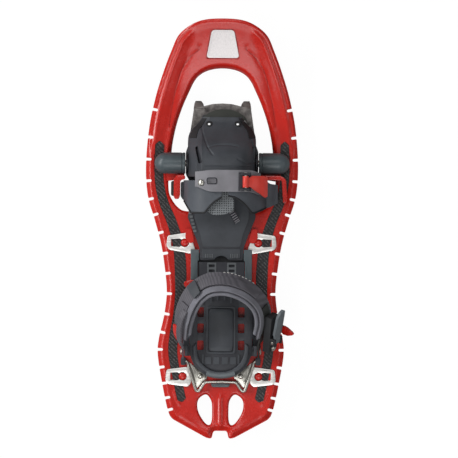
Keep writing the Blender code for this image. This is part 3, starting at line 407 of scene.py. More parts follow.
def meshed(name, bm):
    """An object from a bmesh, which is freed."""
    bmesh.ops.recalc_face_normals(bm, faces=bm.faces)
    mesh = bpy.data.meshes.new(name)
    bm.to_mesh(mesh)
    bm.free()
    return placed(name, mesh)


def without(bm, cutters):
    """The solid less the cutters, with all of these freed."""
    objects = [meshed("carving", part) for part in (bm, merged(cutters))]
    carving = objects[0].modifiers.new("Cut", "BOOLEAN")
    carving.operation, carving.solver, carving.object = "DIFFERENCE", "MANIFOLD", objects[1]
    made = bmesh.new()
    made.from_object(objects[0], bpy.context.evaluated_depsgraph_get())
    for obj in objects:
        mesh = obj.data
        bpy.data.objects.remove(obj)
        bpy.data.meshes.remove(mesh)
    return made


def piece(name, bm, look, body, nodes=(), bevel=0.0, segments=2, angle=35):
    """An object from a bmesh in millimetres, riding on a body and standing for the given nodes."""
    for vert in bm.verts:
        vert.co *= MM
    obj = meshed(name, bm)
    for face in obj.data.polygons:
        face.use_smooth = True
    obj.data.materials.append(look)
    if bevel:
        rounding = obj.modifiers.new("Rounding", "BEVEL")
        rounding.width = bevel * MM
        rounding.segments = segments
        rounding.limit_method = "ANGLE"
        rounding.angle_limit = math.radians(angle)
        rounding.harden_normals = True
    else:
        obj.data.set_sharp_from_angle(angle=math.radians(angle))
    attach(obj, body)
    if nodes:
        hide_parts(*nodes)
    return obj


def refined(look, width, *nodes, segments=2):
    """The nodes' own shapes with rounded edges."""
    for node in nodes:
        bm = bmesh.new()
        bm.from_mesh(NODES[node].data)
        for vert in bm.verts:
            vert.co /= MM
        bmesh.ops.remove_doubles(bm, verts=bm.verts, dist=0.002)
        bmesh.ops.dissolve_limit(bm, angle_limit=math.radians(2), verts=bm.verts, edges=bm.edges)
        bmesh.ops.triangulate(bm, faces=[face for face in bm.faces if len(face.verts) > 4])
        piece(f"{node}_fine", bm, look, NODES[node]["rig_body"], [node], bevel=width, segments=segments)


# Materials, with noise scales per metre and depths in metres

WAVES_PER_PITCH = 0.314
DRIFT = (0.3, 0.7)
SHADER_INPUTS = {"coat": "Coat Weight", "coat_rough": "Coat Roughness", "gloss": "Specular IOR Level",
                 "sheen": "Sheen Weight"}


def srgb(red, green, blue):
    values = [value / 255 for value in (red, green, blue)]
    return tuple(v / 12.92 if v <= 0.04045 else ((v + 0.055) / 1.055) ** 2.4 for v in values)


def scaled(colour, factor):
    return tuple(min(1.0, channel * factor) for channel in colour)


def fill(node, values):
    """Give a node's inputs their values, or links where a value is a socket."""
    for name, value in values.items():
        if isinstance(value, bpy.types.NodeSocket):
            node.id_data.links.new(value, node.inputs[name])
        else:
            node.inputs[name].default_value = value


class Look:
    """A Principled material with its node tree at hand."""

    def __init__(self, name, roughness, metallic=0.0):
        self.made = bpy.data.materials.new(f"{name}_look")
        self.made["slot"] = name
        self.made.use_nodes = True
        self.tree = self.made.node_tree
        self.shader = self.tree.nodes["Principled BSDF"]
        fill(self.shader, {"Roughness": roughness, "Metallic": metallic})
        self.coords = self.add("ShaderNodeTexCoord", {}).outputs["Object"]

    def add(self, kind, values, **settings):
        node = self.tree.nodes.new(kind)
        for name, value in settings.items():
            setattr(node, name, value)
        fill(node, values)
        return node

    def stretched(self, scale):
        return self.add("ShaderNodeMapping", {"Scale": scale, "Vector": self.coords}).outputs["Vector"]

    def noise(self, scale, detail, roughness=0.55, coords=None):
        values = {"Scale": scale, "Detail": detail, "Roughness": roughness, "Vector": coords or self.coords}
        return self.add("ShaderNodeTexNoise", values).outputs["Fac"]

    def bands(self, pitch, direction, distortion, detail):
        values = {"Scale": WAVES_PER_PITCH / pitch, "Distortion": distortion, "Detail": detail,
                  "Vector": self.coords}
        settings = {"wave_type": "BANDS", "bands_direction": direction, "wave_profile": "SIN"}
        return self.add("ShaderNodeTexWave", values, **settings).outputs["Fac"]

    def shaded(self, value, colour, dark, light):
        """The colour from darker to lighter as the value rises."""
        node = self.add("ShaderNodeValToRGB", {"Fac": value})
        for element, place, factor in zip(node.color_ramp.elements, DRIFT, (dark, light)):
            element.position = place
            element.color = (*scaled(colour, factor), 1)
        return node.outputs["Color"]

    def remap(self, value, low, high, start=DRIFT[0], end=DRIFT[1]):
        values = {"Value": value, "From Min": start, "From Max": end, "To Min": low, "To Max": high}
        return self.add("ShaderNodeMapRange", values).outputs["Result"]

    def mix(self, share, first, second):
        node = self.add("ShaderNodeMix", {"Factor": share}, data_type="RGBA")
        colours = [place for place, socket in enumerate(node.inputs) if socket.type == "RGBA"]
        for place, value in zip(colours, (first, second)):
            fill(node, {place: (*value, 1) if isinstance(value, tuple) else value})
        return next(socket for socket in node.outputs if socket.type == "RGBA")

    def maths(self, operation, *values):
        return self.add("ShaderNodeMath", dict(enumerate(values)), operation=operation).outputs["Value"]

    def done(self, base, rough, height, strength, depth, **others):
        """The material, with its colour, its roughness, a bump from a height, and other inputs by name."""
        bump = self.add("ShaderNodeBump", {"Strength": strength, "Distance": depth, "Height": height})
        fill(self.shader, {"Base Color": base, "Roughness": rough, "Normal": bump.outputs["Normal"]})
        fill(self.shader, {SHADER_INPUTS[name]: value for name, value in others.items()})
        return self.made


def plastic(name, colour, roughness, grain, depth=0.00012, spread=0.16, scuffs=0.0, coat=0.0, gloss=0.3):
    """Moulded plastic: a little colour drift, a fine skin, rubbed patches and thin scratches."""
    look = Look(name, roughness)
    base = look.shaded(look.noise(38, 4), colour, 1 - spread, 1 + spread)
    if scuffs:
        marks = look.noise(160, 6, 0.7, look.stretched((1, 0.25, 1)))
        base = look.mix(look.remap(marks, 0, scuffs, 0.58, 0.74), base, scaled(colour, 1.9))
    worn = look.remap(look.noise(75, 5), roughness * 0.88, roughness * 1.14)
    return look.done(base, worn, look.noise(grain, 3), 0.35, depth, coat=coat, coat_rough=0.12, gloss=gloss)


def metal(name, colour, roughness, metallic, along=(1, 0.04, 1), stain=None):
    """Brushed metal, with stained patches where a stain is given."""
    look = Look(name, roughness, metallic)
    lines = look.noise(900, 4, 0.6, look.stretched(along))
    base = look.shaded(lines, colour, 0.86, 1.1)
    if stain:
        base = look.mix(look.remap(look.noise(120, 5, 0.65), 0, 1, 0.42, 0.62), base, stain)
    rough = look.remap(lines, roughness - 0.06, roughness + 0.12)
    return look.done(base, rough, lines, 0.25, 0.00006)


def drifting(look, colour, roughness, scale, detail, spread):
    """A colour and a roughness that vary together."""
    drift = look.noise(scale, detail)
    base = look.shaded(drift, colour, 1 - spread, 1 + spread)
    return base, look.remap(drift, roughness - 0.08, roughness + 0.08)


def woven(name, colour, roughness):
    """Cloth: two crossed waves, darker between the threads."""
    look = Look(name, roughness)
    threads = look.maths("MULTIPLY", *[look.bands(0.0011, direction, 0.6, 1) for direction in ("X", "Y")])
    base, rough = drifting(look, colour, roughness, 55, 4, 0.15)
    base = look.mix(look.remap(threads, 0.3, 0, 0, 0.6), base, scaled(colour, 0.35))
    return look.done(base, rough, threads, 0.5, 0.00025, sheen=0.1)


def carbon(name):
    """Twill: tows that pass over two and under two, a step further each row, under clear resin."""
    look = Look(name, 0.36)
    maths, cell, keeps_positive = look.maths, 0.0014, 4000
    split = look.add("ShaderNodeSeparateXYZ", {"Vector": look.coords})
    across, along = [maths("DIVIDE", split.outputs[axis], cell) for axis in ("X", "Y")]
    step = maths("ADD", maths("FLOOR", across), maths("FLOOR", along))
    over = maths("LESS_THAN", maths("MODULO", maths("ADD", step, keeps_positive), 4), 2)
    humps = [maths("SINE", maths("MULTIPLY", maths("FRACT", way), math.pi)) for way in (across, along)]
    first = maths("MULTIPLY", over, humps[0])
    second = maths("MULTIPLY", maths("SUBTRACT", 1, over), humps[1])
    shade = maths("MULTIPLY", first, look.remap(look.noise(650, 2), 0.05, 1, 0.42, 0.6))
    base = look.mix(shade, srgb(20, 20, 20), srgb(104, 101, 101))
    rough = look.remap(look.noise(200, 4), 0.28, 0.46)
    return look.done(base, rough, maths("ADD", first, second), 0.3, 0.00018, gloss=0.35)


def perforated(name, colour, roughness, pitch):
    """A moulded sheet with rows of small blind holes."""
    look = Look(name, roughness)
    cells = look.add("ShaderNodeTexVoronoi", {"Vector": look.coords}, voronoi_dimensions="2D", feature="F1")
    fill(cells, {"Scale": 1 / pitch, "Randomness": 0.15})
    rim = look.remap(cells.outputs["Distance"], 0, 1, 0.2, 0.34)
    base, rough = drifting(look, colour, roughness, 60, 4, 0.15)
    base = look.mix(rim, scaled(colour, 0.16), base)
    return look.done(base, rough, rim, 0.6, 0.0006, gloss=0.25)


def ribbed(name, colour, roughness, pitch):
    """Strap plastic with slanting ribs moulded into its face."""
    look = Look(name, roughness)
    ribs = look.bands(pitch, "DIAGONAL", 1.2, 2)
    base, rough = drifting(look, colour, roughness, 45, 5, 0.18)
    base = look.mix(look.remap(ribs, 0, 0.55, 0.75, 0.1), base, scaled(colour, 0.5))
    return look.done(base, rough, ribs, 0.5, 0.0003, gloss=0.3)


RED = plastic("red_plastic", srgb(186, 30, 20), 0.26, 1100, 0.00004, 0.05, 0.03, 0.08, 0.42)
BUCKLE_RED = plastic("red_plastic", srgb(212, 66, 56), 0.34, 1100, 0.00004, 0.08, 0.04)
SILVER = metal("badge_silver", srgb(224, 219, 219), 0.38, 0.15)
CARBON = carbon("carbon_weave")
BRIGHT = metal("bright_steel", srgb(226, 224, 220), 0.3, 0.6, (0.05, 1, 1))
STEEL = metal("dull_steel", srgb(184, 182, 174), 0.28, 0.9)
WORN = metal("crampon_steel", srgb(120, 115, 112), 0.5, 0.35, stain=srgb(82, 78, 76))
GREY = plastic("grey_plastic", srgb(72, 81, 85), 0.36, 800, gloss=0.4)
DARK = plastic("dark_plastic", srgb(52, 53, 58), 0.5, 800)
SLATE = plastic("slate_plastic", srgb(63, 66, 71), 0.46, 700)
STRAP = plastic("strap_plastic", srgb(122, 121, 126), 0.5, 900)
CLOTH = plastic("wing_cloth", srgb(74, 78, 84), 0.52, 600, 0.0002)
BAND = ribbed("band_plastic", srgb(92, 90, 96), 0.55, 0.0028)
FOAM = woven("black_foam", srgb(92, 93, 101), 0.8)
RUBBER = plastic("black_rubber", srgb(34, 35, 37), 0.6, 1200, 0.00015)
WEBBING = plastic("anchor_webbing", srgb(42, 44, 42), 0.5, 900)
OLIVE = plastic("slate_plastic", srgb(48, 50, 46), 0.5, 700)
THREAD = plastic("strap_plastic", srgb(196, 194, 190), 0.7, 900)
LINING = woven("black_foam", srgb(116, 116, 124), 0.75)
LADDER = plastic("dark_plastic", srgb(92, 95, 98), 0.5, 800)
PALE = plastic("grey_plastic", srgb(96, 102, 106), 0.42, 800)
DOTTED = perforated("black_foam", srgb(112, 116, 119), 0.6, 0.0032)


# The deck


def deck_rise(y):
    """How far the deck turns up at its nose and its tail."""
    nose = NOSE_RISE * np.clip((y - NOSE_FROM) / NOSE_REACH, 0, None) ** 1.8
    return nose + TAIL_RISE * np.clip((TAIL_FROM - y) / TAIL_REACH, 0, None) ** 2


def deck_loops():
    """The outline before its slots are cut, the toe opening and the two tail holes."""
    crown = spline([*mirrored(DECK_SIDE), (0, 295), *DECK_SIDE], 2.6)
    rear = rounded_path([crown[-1], *TAIL, *mirrored(TAIL), crown[0]], 3.5)
    opening = spline([(0, 225.5), *TOE_OPENING, (0, 24), *mirrored(TOE_OPENING)], 2.6, True)
    tails = [spline(flipped(TAIL_HOLE, side), 2.2, True) for side, _ in SIDES]
    return crown + rear[1:-1], opening, tails


def notched(loop):
    """The clockwise outline with a slot let into it at each place on both sides."""
    turns = span(math.pi, 0, 9)
    arc = [(NOTCH_HALF * math.cos(t), NOTCH_DEPTH - NOTCH_HALF * (1 - math.sin(t))) for t in turns]
    mouth = NOTCH_HALF + NOTCH_LIP
    slot = [(-mouth, 0), (-NOTCH_HALF, NOTCH_LIP), *arc, (NOTCH_HALF, NOTCH_LIP), (mouth, 0)]
    edges = list(looped(loop))
    cuts, flank = [], 30
    for y in NOTCH_PLACES:
        for side, _ in SIDES:
            for index, (a, b) in enumerate(edges):
                if min(a.x * side, b.x * side) > flank and min(a.y, b.y) <= y < max(a.y, b.y):
                    cuts.append((index, a.lerp(b, (y - a.y) / (b.y - a.y)), (b - a).normalized()))
                    break
    outline = []
    for index, (a, _) in enumerate(edges):
        if not any((a - edge).length < NOTCH_HALF + 1.0 for _, edge, _ in cuts):
            outline.append(a)
        for place, edge, along in cuts:
            if place == index:
                inward = Vector((along.y, -along.x))
                outline += [edge + along * x + inward * y for x, y in slot]
    return outline


def inlay_outline(side, grow=0.0):
    """A band along the inlay's centre line, a little wider midway and pointed at both ends."""
    centre = spline(INLAY_CENTRE, 5)
    left, right = [], []
    for point, ahead in zip(centre, headings(centre)):
        half = INLAY_HALF + INLAY_SWELL * float(hump(point.y - SWELL_Y, SWELL_REACH)) + grow
        left.append(point + Vector((-ahead.y, ahead.x)) * half)
        right.append(point - Vector((-ahead.y, ahead.x)) * half)
    front = centre[0] + (centre[0] - centre[1]).normalized() * (INLAY_HALF + grow)
    rear = centre[-1] + (centre[-1] - centre[-2]).normalized() * (4 + grow)
    return rounded(flipped([front, *left, rear, *reversed(right)], side), 2.5, 3)


def badge_outline(grow=0.0):
    rear, front, wide, narrow = 240 - grow, 279 + grow, 23 + grow, 15.5 + grow
    return rounded([(-wide, rear), (wide, rear), (narrow, front), (-narrow, front)], 5, 6)


def section(gap, stations):
    """A height profile read at each gap, with its corners eased."""
    places, heights = zip(*stations)
    return sum(np.interp(gap + shift, places, heights) for shift in (-0.7, -0.35, 0, 0.35, 0.7)) / 5


def deck_heights(plain, opening, tails):
    """Two functions of points: the deck's top and its bottom."""

    def top(points):
        x, y = points[:, 0], points[:, 1]
        gap = distance(points, plain)
        arm = smooth(y, 95, 35)
        nose = smooth(y, 225, 30) * (1 - smooth(np.abs(x), 36, 14))
        tail = smooth(y, -248, -14)
        height = section(gap, SIDE_PROFILE)
        for stations, share in ((ARM_PROFILE, arm), (NOSE_PROFILE, nose), (TAIL_PROFILE, tail)):
            height = height * (1 - share) + section(gap, stations) * share
        for side, _ in SIDES:
            height -= 0.6 * arm * hump(distance(points, flipped(CREASE, side), False), 3)
            height += 1.2 * hump(distance(points, flipped(TAIL_RIDGE, side), False), 1.8)
        opened = smooth(y, 60, 30)
        wall = eased_edge(distance(points, opening), 4.5 + 1.5 * opened)
        height -= (opened * 9 + (1 - opened) * 1.6) * wall
        for hole in tails:
            height -= 2.6 * eased_edge(distance(points, hole), 3)
        ridge = smooth(y, -228, -14) * smooth(y, -284, 14)
        height += 2.4 * ridge * hump(x, 2.8)
        return DECK_TOP + deck_rise(y) + height

    def bottom(points):
        y = points[:, 1]
        edge = 1.5 * (1 - smooth(distance(points, plain), 0, 6))
        skirt = 4 * smooth(y, 60, 30) * (1 - smooth(distance(points, opening), 0, 5))
        return DECK_BOTTOM + deck_rise(y) + edge - skirt

    return top, bottom


def deck_points(plain, holes):
    """Points inside the deck that carry its relief, and the loops of the two grooves along its creases."""
    inner, grooves = [], []
    for gap in (0.8, 1.8, 3.2, 4.4, 5.6, 6.8, 7.8, 8.8, 9.8, 10.8, 11.8, 13, 15, 17.5, 20, 22.5, 25, 28,
                32, 36):
        ring = offset(plain, -gap)
        far = distance(np.array([tuple(point) for point in ring]), plain)
        inner += [point for point, found in zip(ring, far) if found > 0.985 * gap]
    for gap in (1.2, 2.6, 4.2, 6, 8.5):
        for loop in holes:
            inner += offset(loop, gap)
    inner += [Vector((x, y)) for x in span(-5.25, 5.25, 8) for y in span(-229, -284, 24)]
    for side, _ in SIDES:
        crease = spline(flipped(CREASE, side), 2)
        ways = [(b - a).normalized().orthogonal() for a, b in zip(crease, crease[1:])]
        beside = [[point + way * shift for point, way in zip(crease, ways)]
                  for shift in (-3.2, -1.8, 1.8, 3.2, 0.5, -0.5)]
        inner += sum(beside[:4], [])
        grooves.append(beside[4] + beside[5][::-1])
    inner += [Vector((col * 6 + (row % 2) * 3, row * 5)) for row in range(-58, 58) for col in range(-18, 19)]
    return np.array([tuple(point) for point in inner]), grooves


def build_deck():
    plain, opening, tails = deck_loops()
    outline, holes = notched(plain), [opening, *tails]
    points, grooves = deck_points(plain, holes)
    regions = []
    for side, _ in SIDES:
        regions.append((inlay_outline(side, 0.35), lambda p, z: np.full(len(p), DECK_TOP - 1.8)))
        for corners in (FRONT_BRACKET, REAR_BRACKET):
            loop = offset(rounded(flipped(corners, side), 3), 0.4)
            regions.append((loop, lambda p, z: np.minimum(z, DECK_TOP + 0.4)))
        seat = flipped(box(66, 96, AXLE_Y - 12, AXLE_Y + 12), side)
        regions.append((seat, lambda p, z: np.full(len(p), DECK_BOTTOM + 1.2)))
    regions.append((badge_outline(1.6), lambda p, z: DECK_TOP + deck_rise(p[:, 1]) - 2.2))
    regions += [(groove, lambda p, z: z - 1.3) for groove in grooves]
    edge_gap, region_gap, point_gap = 0.7, 0.5, 0.55
    keep = inside(points, outline) & (distance(points, outline) > edge_gap)
    for hole in holes:
        keep &= ~inside(points, hole) & (distance(points, hole) > edge_gap)
    for loop, _ in regions:
        keep &= distance(points, loop) > region_gap
    top, bottom = deck_heights(plain, opening, tails)
    shell = plate(outline, bottom, top, holes, thinned(points[keep], point_gap), regions)
    piece("deck_shell", shell, RED, "deck", ["deck"], angle=38)
    for side, word in SIDES:
        shelf = block(flipped(AXLE_SHELF, side), 1.5, DECK_BOTTOM + 0.7, DECK_TOP - 0.7)
        piece(f"axle_shelf_{word}", shelf, RED, "deck", bevel=1.0, segments=3)
        boss = block(flipped(BRACKET_BOSS, side), 2.5, DECK_TOP - 0.5, BRACKET_HIGH + 2.6)
        piece(f"bracket_boss_{word}", boss, RED, "deck", bevel=1.8, segments=4)


def build_deck_fittings():
    dome_from, dome_long, radius, mouth, chamfer = 79, 16, 15, 51.6, 0.8
    bore, bore_end, groove_from, groove_to, groove = 5, 86, 55, 57, 0.6
    turns = span(0, math.pi / 2, 12)[1:-1]
    arc = [(dome_from + dome_long * math.sin(t), radius * math.cos(t)) for t in turns]
    housing = [(dome_from + dome_long, 0), *reversed(arc), (dome_from, radius), (groove_to, radius),
               (groove_to - groove, radius - groove), (groove_from + groove, radius - groove),
               (groove_from, radius), (mouth + chamfer, radius), (mouth, radius - chamfer), (mouth, bore),
               (bore_end, bore), (bore_end, 0)]
    for side, word in SIDES:
        strip = plate(inlay_outline(side), DECK_TOP - 1.6, DECK_TOP + 0.5)
        piece(f"carbon_strip_{word}", strip, CARBON, "deck", [f"carbon_inlay_{word}"], bevel=0.4)
        shell = lathe(housing, (0, AXLE_Y, AXLE_Z), (side, 0, 0), 64)
        piece(f"pivot_housing_shell_{word}", shell, GREY, "deck", [f"pivot_housing_{word}"], angle=30)
        for place, corners, hole_x in (("front", FRONT_BRACKET, 51.7), ("rear", REAR_BRACKET, 53.4)):
            refined(BRIGHT, 0.7, f"crampon_{place}_{word}", segments=3)
            middle = (corners[0][1] + corners[4][1]) / 2 + 0.5
            head = dome((hole_x * side, middle, RIVET_SEAT), (0, 0, 1), RIVET_RADIUS, RIVET_HEIGHT)
            rivet = f"crampon_rivet_{place}_{word}"
            piece(f"crampon_rivet_head_{place}_{word}", head, RED, "deck", [rivet], angle=60)
        refined(STEEL, 0.35, f"guide_plate_{word}")
        refined(DARK, 0.6, f"lifter_lug_{word}")
        NODES[f"pivot_pin_{word}"].data.materials[0] = STEEL
    refined(GREY, 1.0, "heel_bumper", segments=3)

    def level(shift):
        return lambda points: DECK_TOP + deck_rise(points[:, 1]) + shift

    inner = [Vector((x, y)) for y in span(244, 275, 8) for x in span(-14, 14, 7)]
    face = (badge_outline(-2.2), lambda p, z: z - 0.35)
    badge = plate(badge_outline(), level(-1.2), level(0.4), (), inner, [face])
    piece("badge_plate_fine", badge, SILVER, "deck", ["badge_plate"], bevel=0.25)


def build_lifter():
    half = [(53.5, 0), (47, 0), (43, -14), (38, -30), (34.5, -41), (31.5, -42.5), (28, -39), (22, -29.5),
            (0, -28.5)]
    path = [*half, *mirrored(half[:-1])]
    wire = rounded_path([Vector((x, LIFTER_Y + y, LIFTER_Z)) for x, y in path], WIRE_BEND, 6)
    piece("heel_lifter_wire", tube(wire, WIRE_RADIUS, 20), STEEL, "heel_lifter", ["heel_lifter"], angle=50)


# The forefoot binding


def boot_arch(turn, grow=0.0):
    """A point of the harness arch across the boot, as x and z."""
    across, up = math.cos(turn), math.sin(turn)
    x = ARCH_MID + (ARCH_HALF + grow) * math.copysign(abs(across) ** ARCH_POWER, across)
    return x, BASE_HIGH + (ARCH_HEIGHT + grow) * max(up, 0) ** ARCH_POWER


def arch_turn(x, grow):
    """The turn at which the harness arch passes over x."""
    share = (x - ARCH_MID) / (ARCH_HALF + grow)
    return math.acos(math.copysign(abs(share) ** (1 / ARCH_POWER), share))


def arch_sheet(turns, front, rear, grow, columns):
    """A grid over the arch between two edges, each a function of the turn."""
    grid = []
    for turn in turns:
        x, z = boot_arch(turn, grow)
        grid.append([Vector((x, y, z)) for y in span(front(turn), rear(turn), columns)])
    return grid


def build_base():
    refined(DARK, 0.9, "base_plate", segments=3)
    refined(GREY, 0.8, "rail_left", "rail_right", segments=3)
    refined(WORN, 0.9, "front_crampon", segments=3)
    for word in ("left", "right"):
        NODES[f"pivot_bush_{word}"].data.materials[0] = RUBBER
    top = BASE_HIGH
    half = [(26, -25), (30, -8), (38, 14), (38, 60)]
    panel = block(mirrored(half) + half, 2, top - 0.5, top + 1)
    piece("base_panel", panel, SLATE, "binding", bevel=0.8, segments=3)
    recess = [(9.5 * math.cos(t), -44 + 6 * math.sin(t)) for t in span(0.25, math.pi - 0.25, 13)]
    rear = [(26.5, -41.5), (27, -28), (-27, -28), (-26.5, -41.5), *reversed(recess)]
    piece("base_tongue_panel", plate(rear, top - 0.5, top + 1.2), SLATE, "binding", bevel=0.7, segments=3)
    ribs = [block(box(x - 0.7, x + 0.7, -40.6, -35), 0.5, top + 1, top + 1.9)
            for x in (13, 16, 19, 22, -13, -16, -19, -22)]
    piece("base_ribs", merged(ribs), LADDER, "binding", bevel=0.25)
    steps = []
    for number in range(6):
        x, y = -44.5 + 1.35 * number, 22 - 5 * number
        steps.append(block(box(x - 2, x + 2.4, y - 1.7, y + 1.7), 0.6, top - 0.5, top + 1.4))
    piece("base_steps", merged(steps), LADDER, "binding", bevel=0.4)
    floor = plate(box(-32.6, 32.6, -34, -104), 23.7, 25.2)
    piece("rack_floor", floor, RUBBER, "binding", bevel=0.3)
    slots, bars = [], []
    for x in (-13.5, 14.5):
        holes = [rounded(box(x - 4.2, x + 4.2, y - 1.9, y + 1.9), 0.8) for y in span(-52, -142, 14)]
        slots += [(hole, lambda p, z: z - 2.6) for hole in holes]
        strip = rounded(box(x - 6.4, x + 6.4, -47.4, -145.5), 1)
        bars.append(plate(strip, RACK_HIGH - 0.2, RACK_HIGH + 0.5, holes))
    rack = plate(mirrored(RACK_HALF) + RACK_HALF, RACK_HIGH - 4, RACK_HIGH, regions=slots)
    piece("length_rack_fine", rack, DARK, "binding", ["length_rack"], bevel=0.3)
    piece("rack_ladders", merged(bars), LADDER, "binding", bevel=0.2)


def build_toe_cap():
    rows = [(157, 28, 7.4), (155, 29, 8), (150, 32.5, 9.5), (145, 37, 12.5), (139, 43, 17), (131, 46.5, 24.5),
            (122, 47.5, 34), (113, 47.3, 43), (104, 46.5, 49.5), (90, 46.5, 54), (73, 46.5, 56)]
    wall = [(-1, 0), (-0.985, 0.28), (-0.66, 0.87), (-0.52, 0.95), (0, 1), (0.5, 0.955), (0.74, 0.82),
            (0.9, 0.58), (0.975, 0.36), (1, 0)]
    shape = spline(wall, 0.02)
    grid = []
    for y, half, height in spline(rows, 1.4):
        grid.append([Vector((half * x, y, BASE_HIGH + 0.7 + height * max(z, 0))) for x, z in shape])

    def part(low, high, rear, front, widen, shift):
        """The cap's grid between two shares of its width and two places along it, widened and moved."""
        columns = [j for j, (x, _) in enumerate(shape) if low <= x <= high]
        return [[Vector((row[j].x * widen, row[j].y + shift[0], row[j].z + shift[1])) for j in columns]
                for row in grid if rear <= row[0].y <= front]

    floor = part(-0.97, -0.42, 86, 120, 0.93, (0, -2.6))
    piece("cap_slot_floor", slab(floor, 1.2), DARK, "binding", angle=60)
    # Dark strips on the cap's sides near its front are painted shade: they stand for the dark gap between the
    # crampon and the cap, not for a part.
    for word, low, high in (("left", -0.97, -0.76), ("right", 0.78, 0.97)):
        shade_strip = part(low, high, 127, 155, 1.012, (0.4, 0.5))
        piece(f"cap_shade_strip_{word}", slab(shade_strip, 1.0), RUBBER, "binding", bevel=0.3)
    lip, edge = [], [(168, 5), (166.5, 13), (163, 21), (158.5, 27.5), (153, 32)]
    (front, _), (rear, _) = edge[0], edge[-1]
    for y, half in spline(edge, 1.2):
        back = (front - y) / (front - rear)
        lip.append([Vector((2.5 + half * x, y, 34 + (4 - 5 * x * x) * back)) for x in span(-1, 1, 41)])
    piece("toe_cap_lip", slab(lip, 3), OLIVE, "binding", angle=50)
    folds = [[(-30, 146), (-26, 130), (-20, 114), (-13, 104)], [(39, 130), (44, 114), (44.5, 104)],
             [(-20, 114), (-8, 117.5), (8, 118), (22, 116)], [(-36, 95), (-35.5, 74)],
             [(22, 98), (33, 93), (43, 91)], [(-23, 88.5), (0, 88.2), (25, 87.4), (40, 86.8)]]
    grid = carved(grid, [spline(fold, 2) for fold in folds], 1.1, 1.0)
    cuts = [lathe([(0, 0), (0, 4), (30, 4), (30, 0)], (x, TOE_HOLE_Y, 30), (0, 0, 1)) for x in TOE_HOLES]
    cuts.append(block([(-38, 114), (-34.5, 116), (-27.5, 93), (-33, 91)], 1.5, 50, 95))
    slot = rounded([(92, 46), (116, 46), (116, 56), (92, 58)], 4)
    cuts.append(loft([[Vector((x, point.x, point.y)) for point in slot] for x in (36, 60)]))
    piece("toe_cap_shell", without(slab(grid, 3), cuts), SLATE, "binding", ["toe_cap"], angle=40)
    # A dark ring set in each toe hole, narrowing and darkening it.
    for number, x in enumerate(TOE_HOLES, 1):
        middle = Vector((x, TOE_HOLE_Y, BASE_HIGH + 11.2))
        circle = hoop(middle, Vector((1, 0, 0)), Vector((0, 0.872, -0.489)), 3.3, 24)
        piece(f"cap_hole_ring_{number}", tube(circle, 1.5, 14, True), RUBBER, "binding", angle=60)


def wing_rear(turn):
    """The wings' rear edge: an arch over the instep between two lobes."""
    x, _ = boot_arch(turn)
    lobe = 22 + 1.7 * max(-43 - x, 0) + 0.45 * max(x - 46, 0)
    return max(45.5 - 0.0214 * (x - 9) ** 2, lobe)


def build_wings():
    columns = 19
    left_turns, right_turns = span(math.pi - 0.03, math.pi / 2 + 0.03, 60), span(math.pi / 2 - 0.04, 0.12, 56)
    left, right = [arch_sheet(turns, lambda t: WING_FRONT, wing_rear, 0, columns)
                   for turns in (left_turns, right_turns)]
    foot = right[-1]
    start = (foot[0].x, foot[0].z, WING_FRONT, foot[-1].y)
    ends = [start, (68, 42, 64, 31), (74, 38, 63, 34), (79, 37, 62, 37)]
    for x, z, front, rear in spline(ends, 1.6)[1:]:
        right.append([Vector((x, y, z)) for y in span(front, rear, columns)])
    for word, grid in (("left", left), ("right", right)):
        sheet = slab(grid, -3)
        piece(f"wing_{word}_sheet", sheet, CLOTH, "binding", [f"wing_{word}"], bevel=0.8, segments=3)
    # A dark tube along each wing's rear edge is painted shadow: it stands for the dark line under the sheet's
    # edge, not for piping.
    for word, grid in (("left", left[8:]), ("right", right[:-14])):
        edge = [row[-1] + Vector((0, 0.4, 0.2)) for row in grid]
        piece(f"wing_shadow_line_{word}", tube(edge, 1.3, 10), RUBBER, "binding", angle=60)
    tongue = arch_sheet(span(2.0, 1.4, 40), lambda t: 58, lambda t: 19 + 90 * (t - 1.7) ** 2, -6, 24)
    piece("instep_tongue_sheet", slab(tongue, -2.5), DOTTED, "binding", ["instep_tongue"], bevel=0.7)
    flange = block([(-57.9, 65.5), (-57.9, 45), (-54, 40), (-50, 40), (-50, 66.5)], 2, 34.2, 37)
    piece("wing_flange_left", flange, CLOTH, "binding", bevel=0.9, segments=3)
    # A dark sheet under the left clip's bar, filling the slit beside it.
    loop = block([(-71.5, 66), (-71.5, 47), (-66.5, 45), (-66.5, 68)], 1.5, 31, 33.4)
    piece("clip_dark_fill_left", loop, WEBBING, "binding", bevel=0.6)
    tail = spline([(5, 40, 79), (8.5, 33, 76.5), (14, 24, 67), (19, 16, 57), (22.5, 10, 47)], 1)
    across = Vector((0.83, 0.55, 0))
    strip = slab([[point + across * x for x in span(-5, 5, 9)] for point in tail], 1.6)
    piece("strap_tail", strip, DARK, "binding", bevel=0.4)
    for number, point in enumerate(tail[8::5]):
        rung = tube([point + across * x + Vector((-0.3, 0.4, 0.9)) for x in span(-3.8, 3.8, 5)], 0.9, 10)
        piece(f"strap_tail_rung_{number}", rung, STRAP, "binding", angle=60)
    refined(RED, 1.2, "wing_clip_left", "wing_clip_right", segments=3)


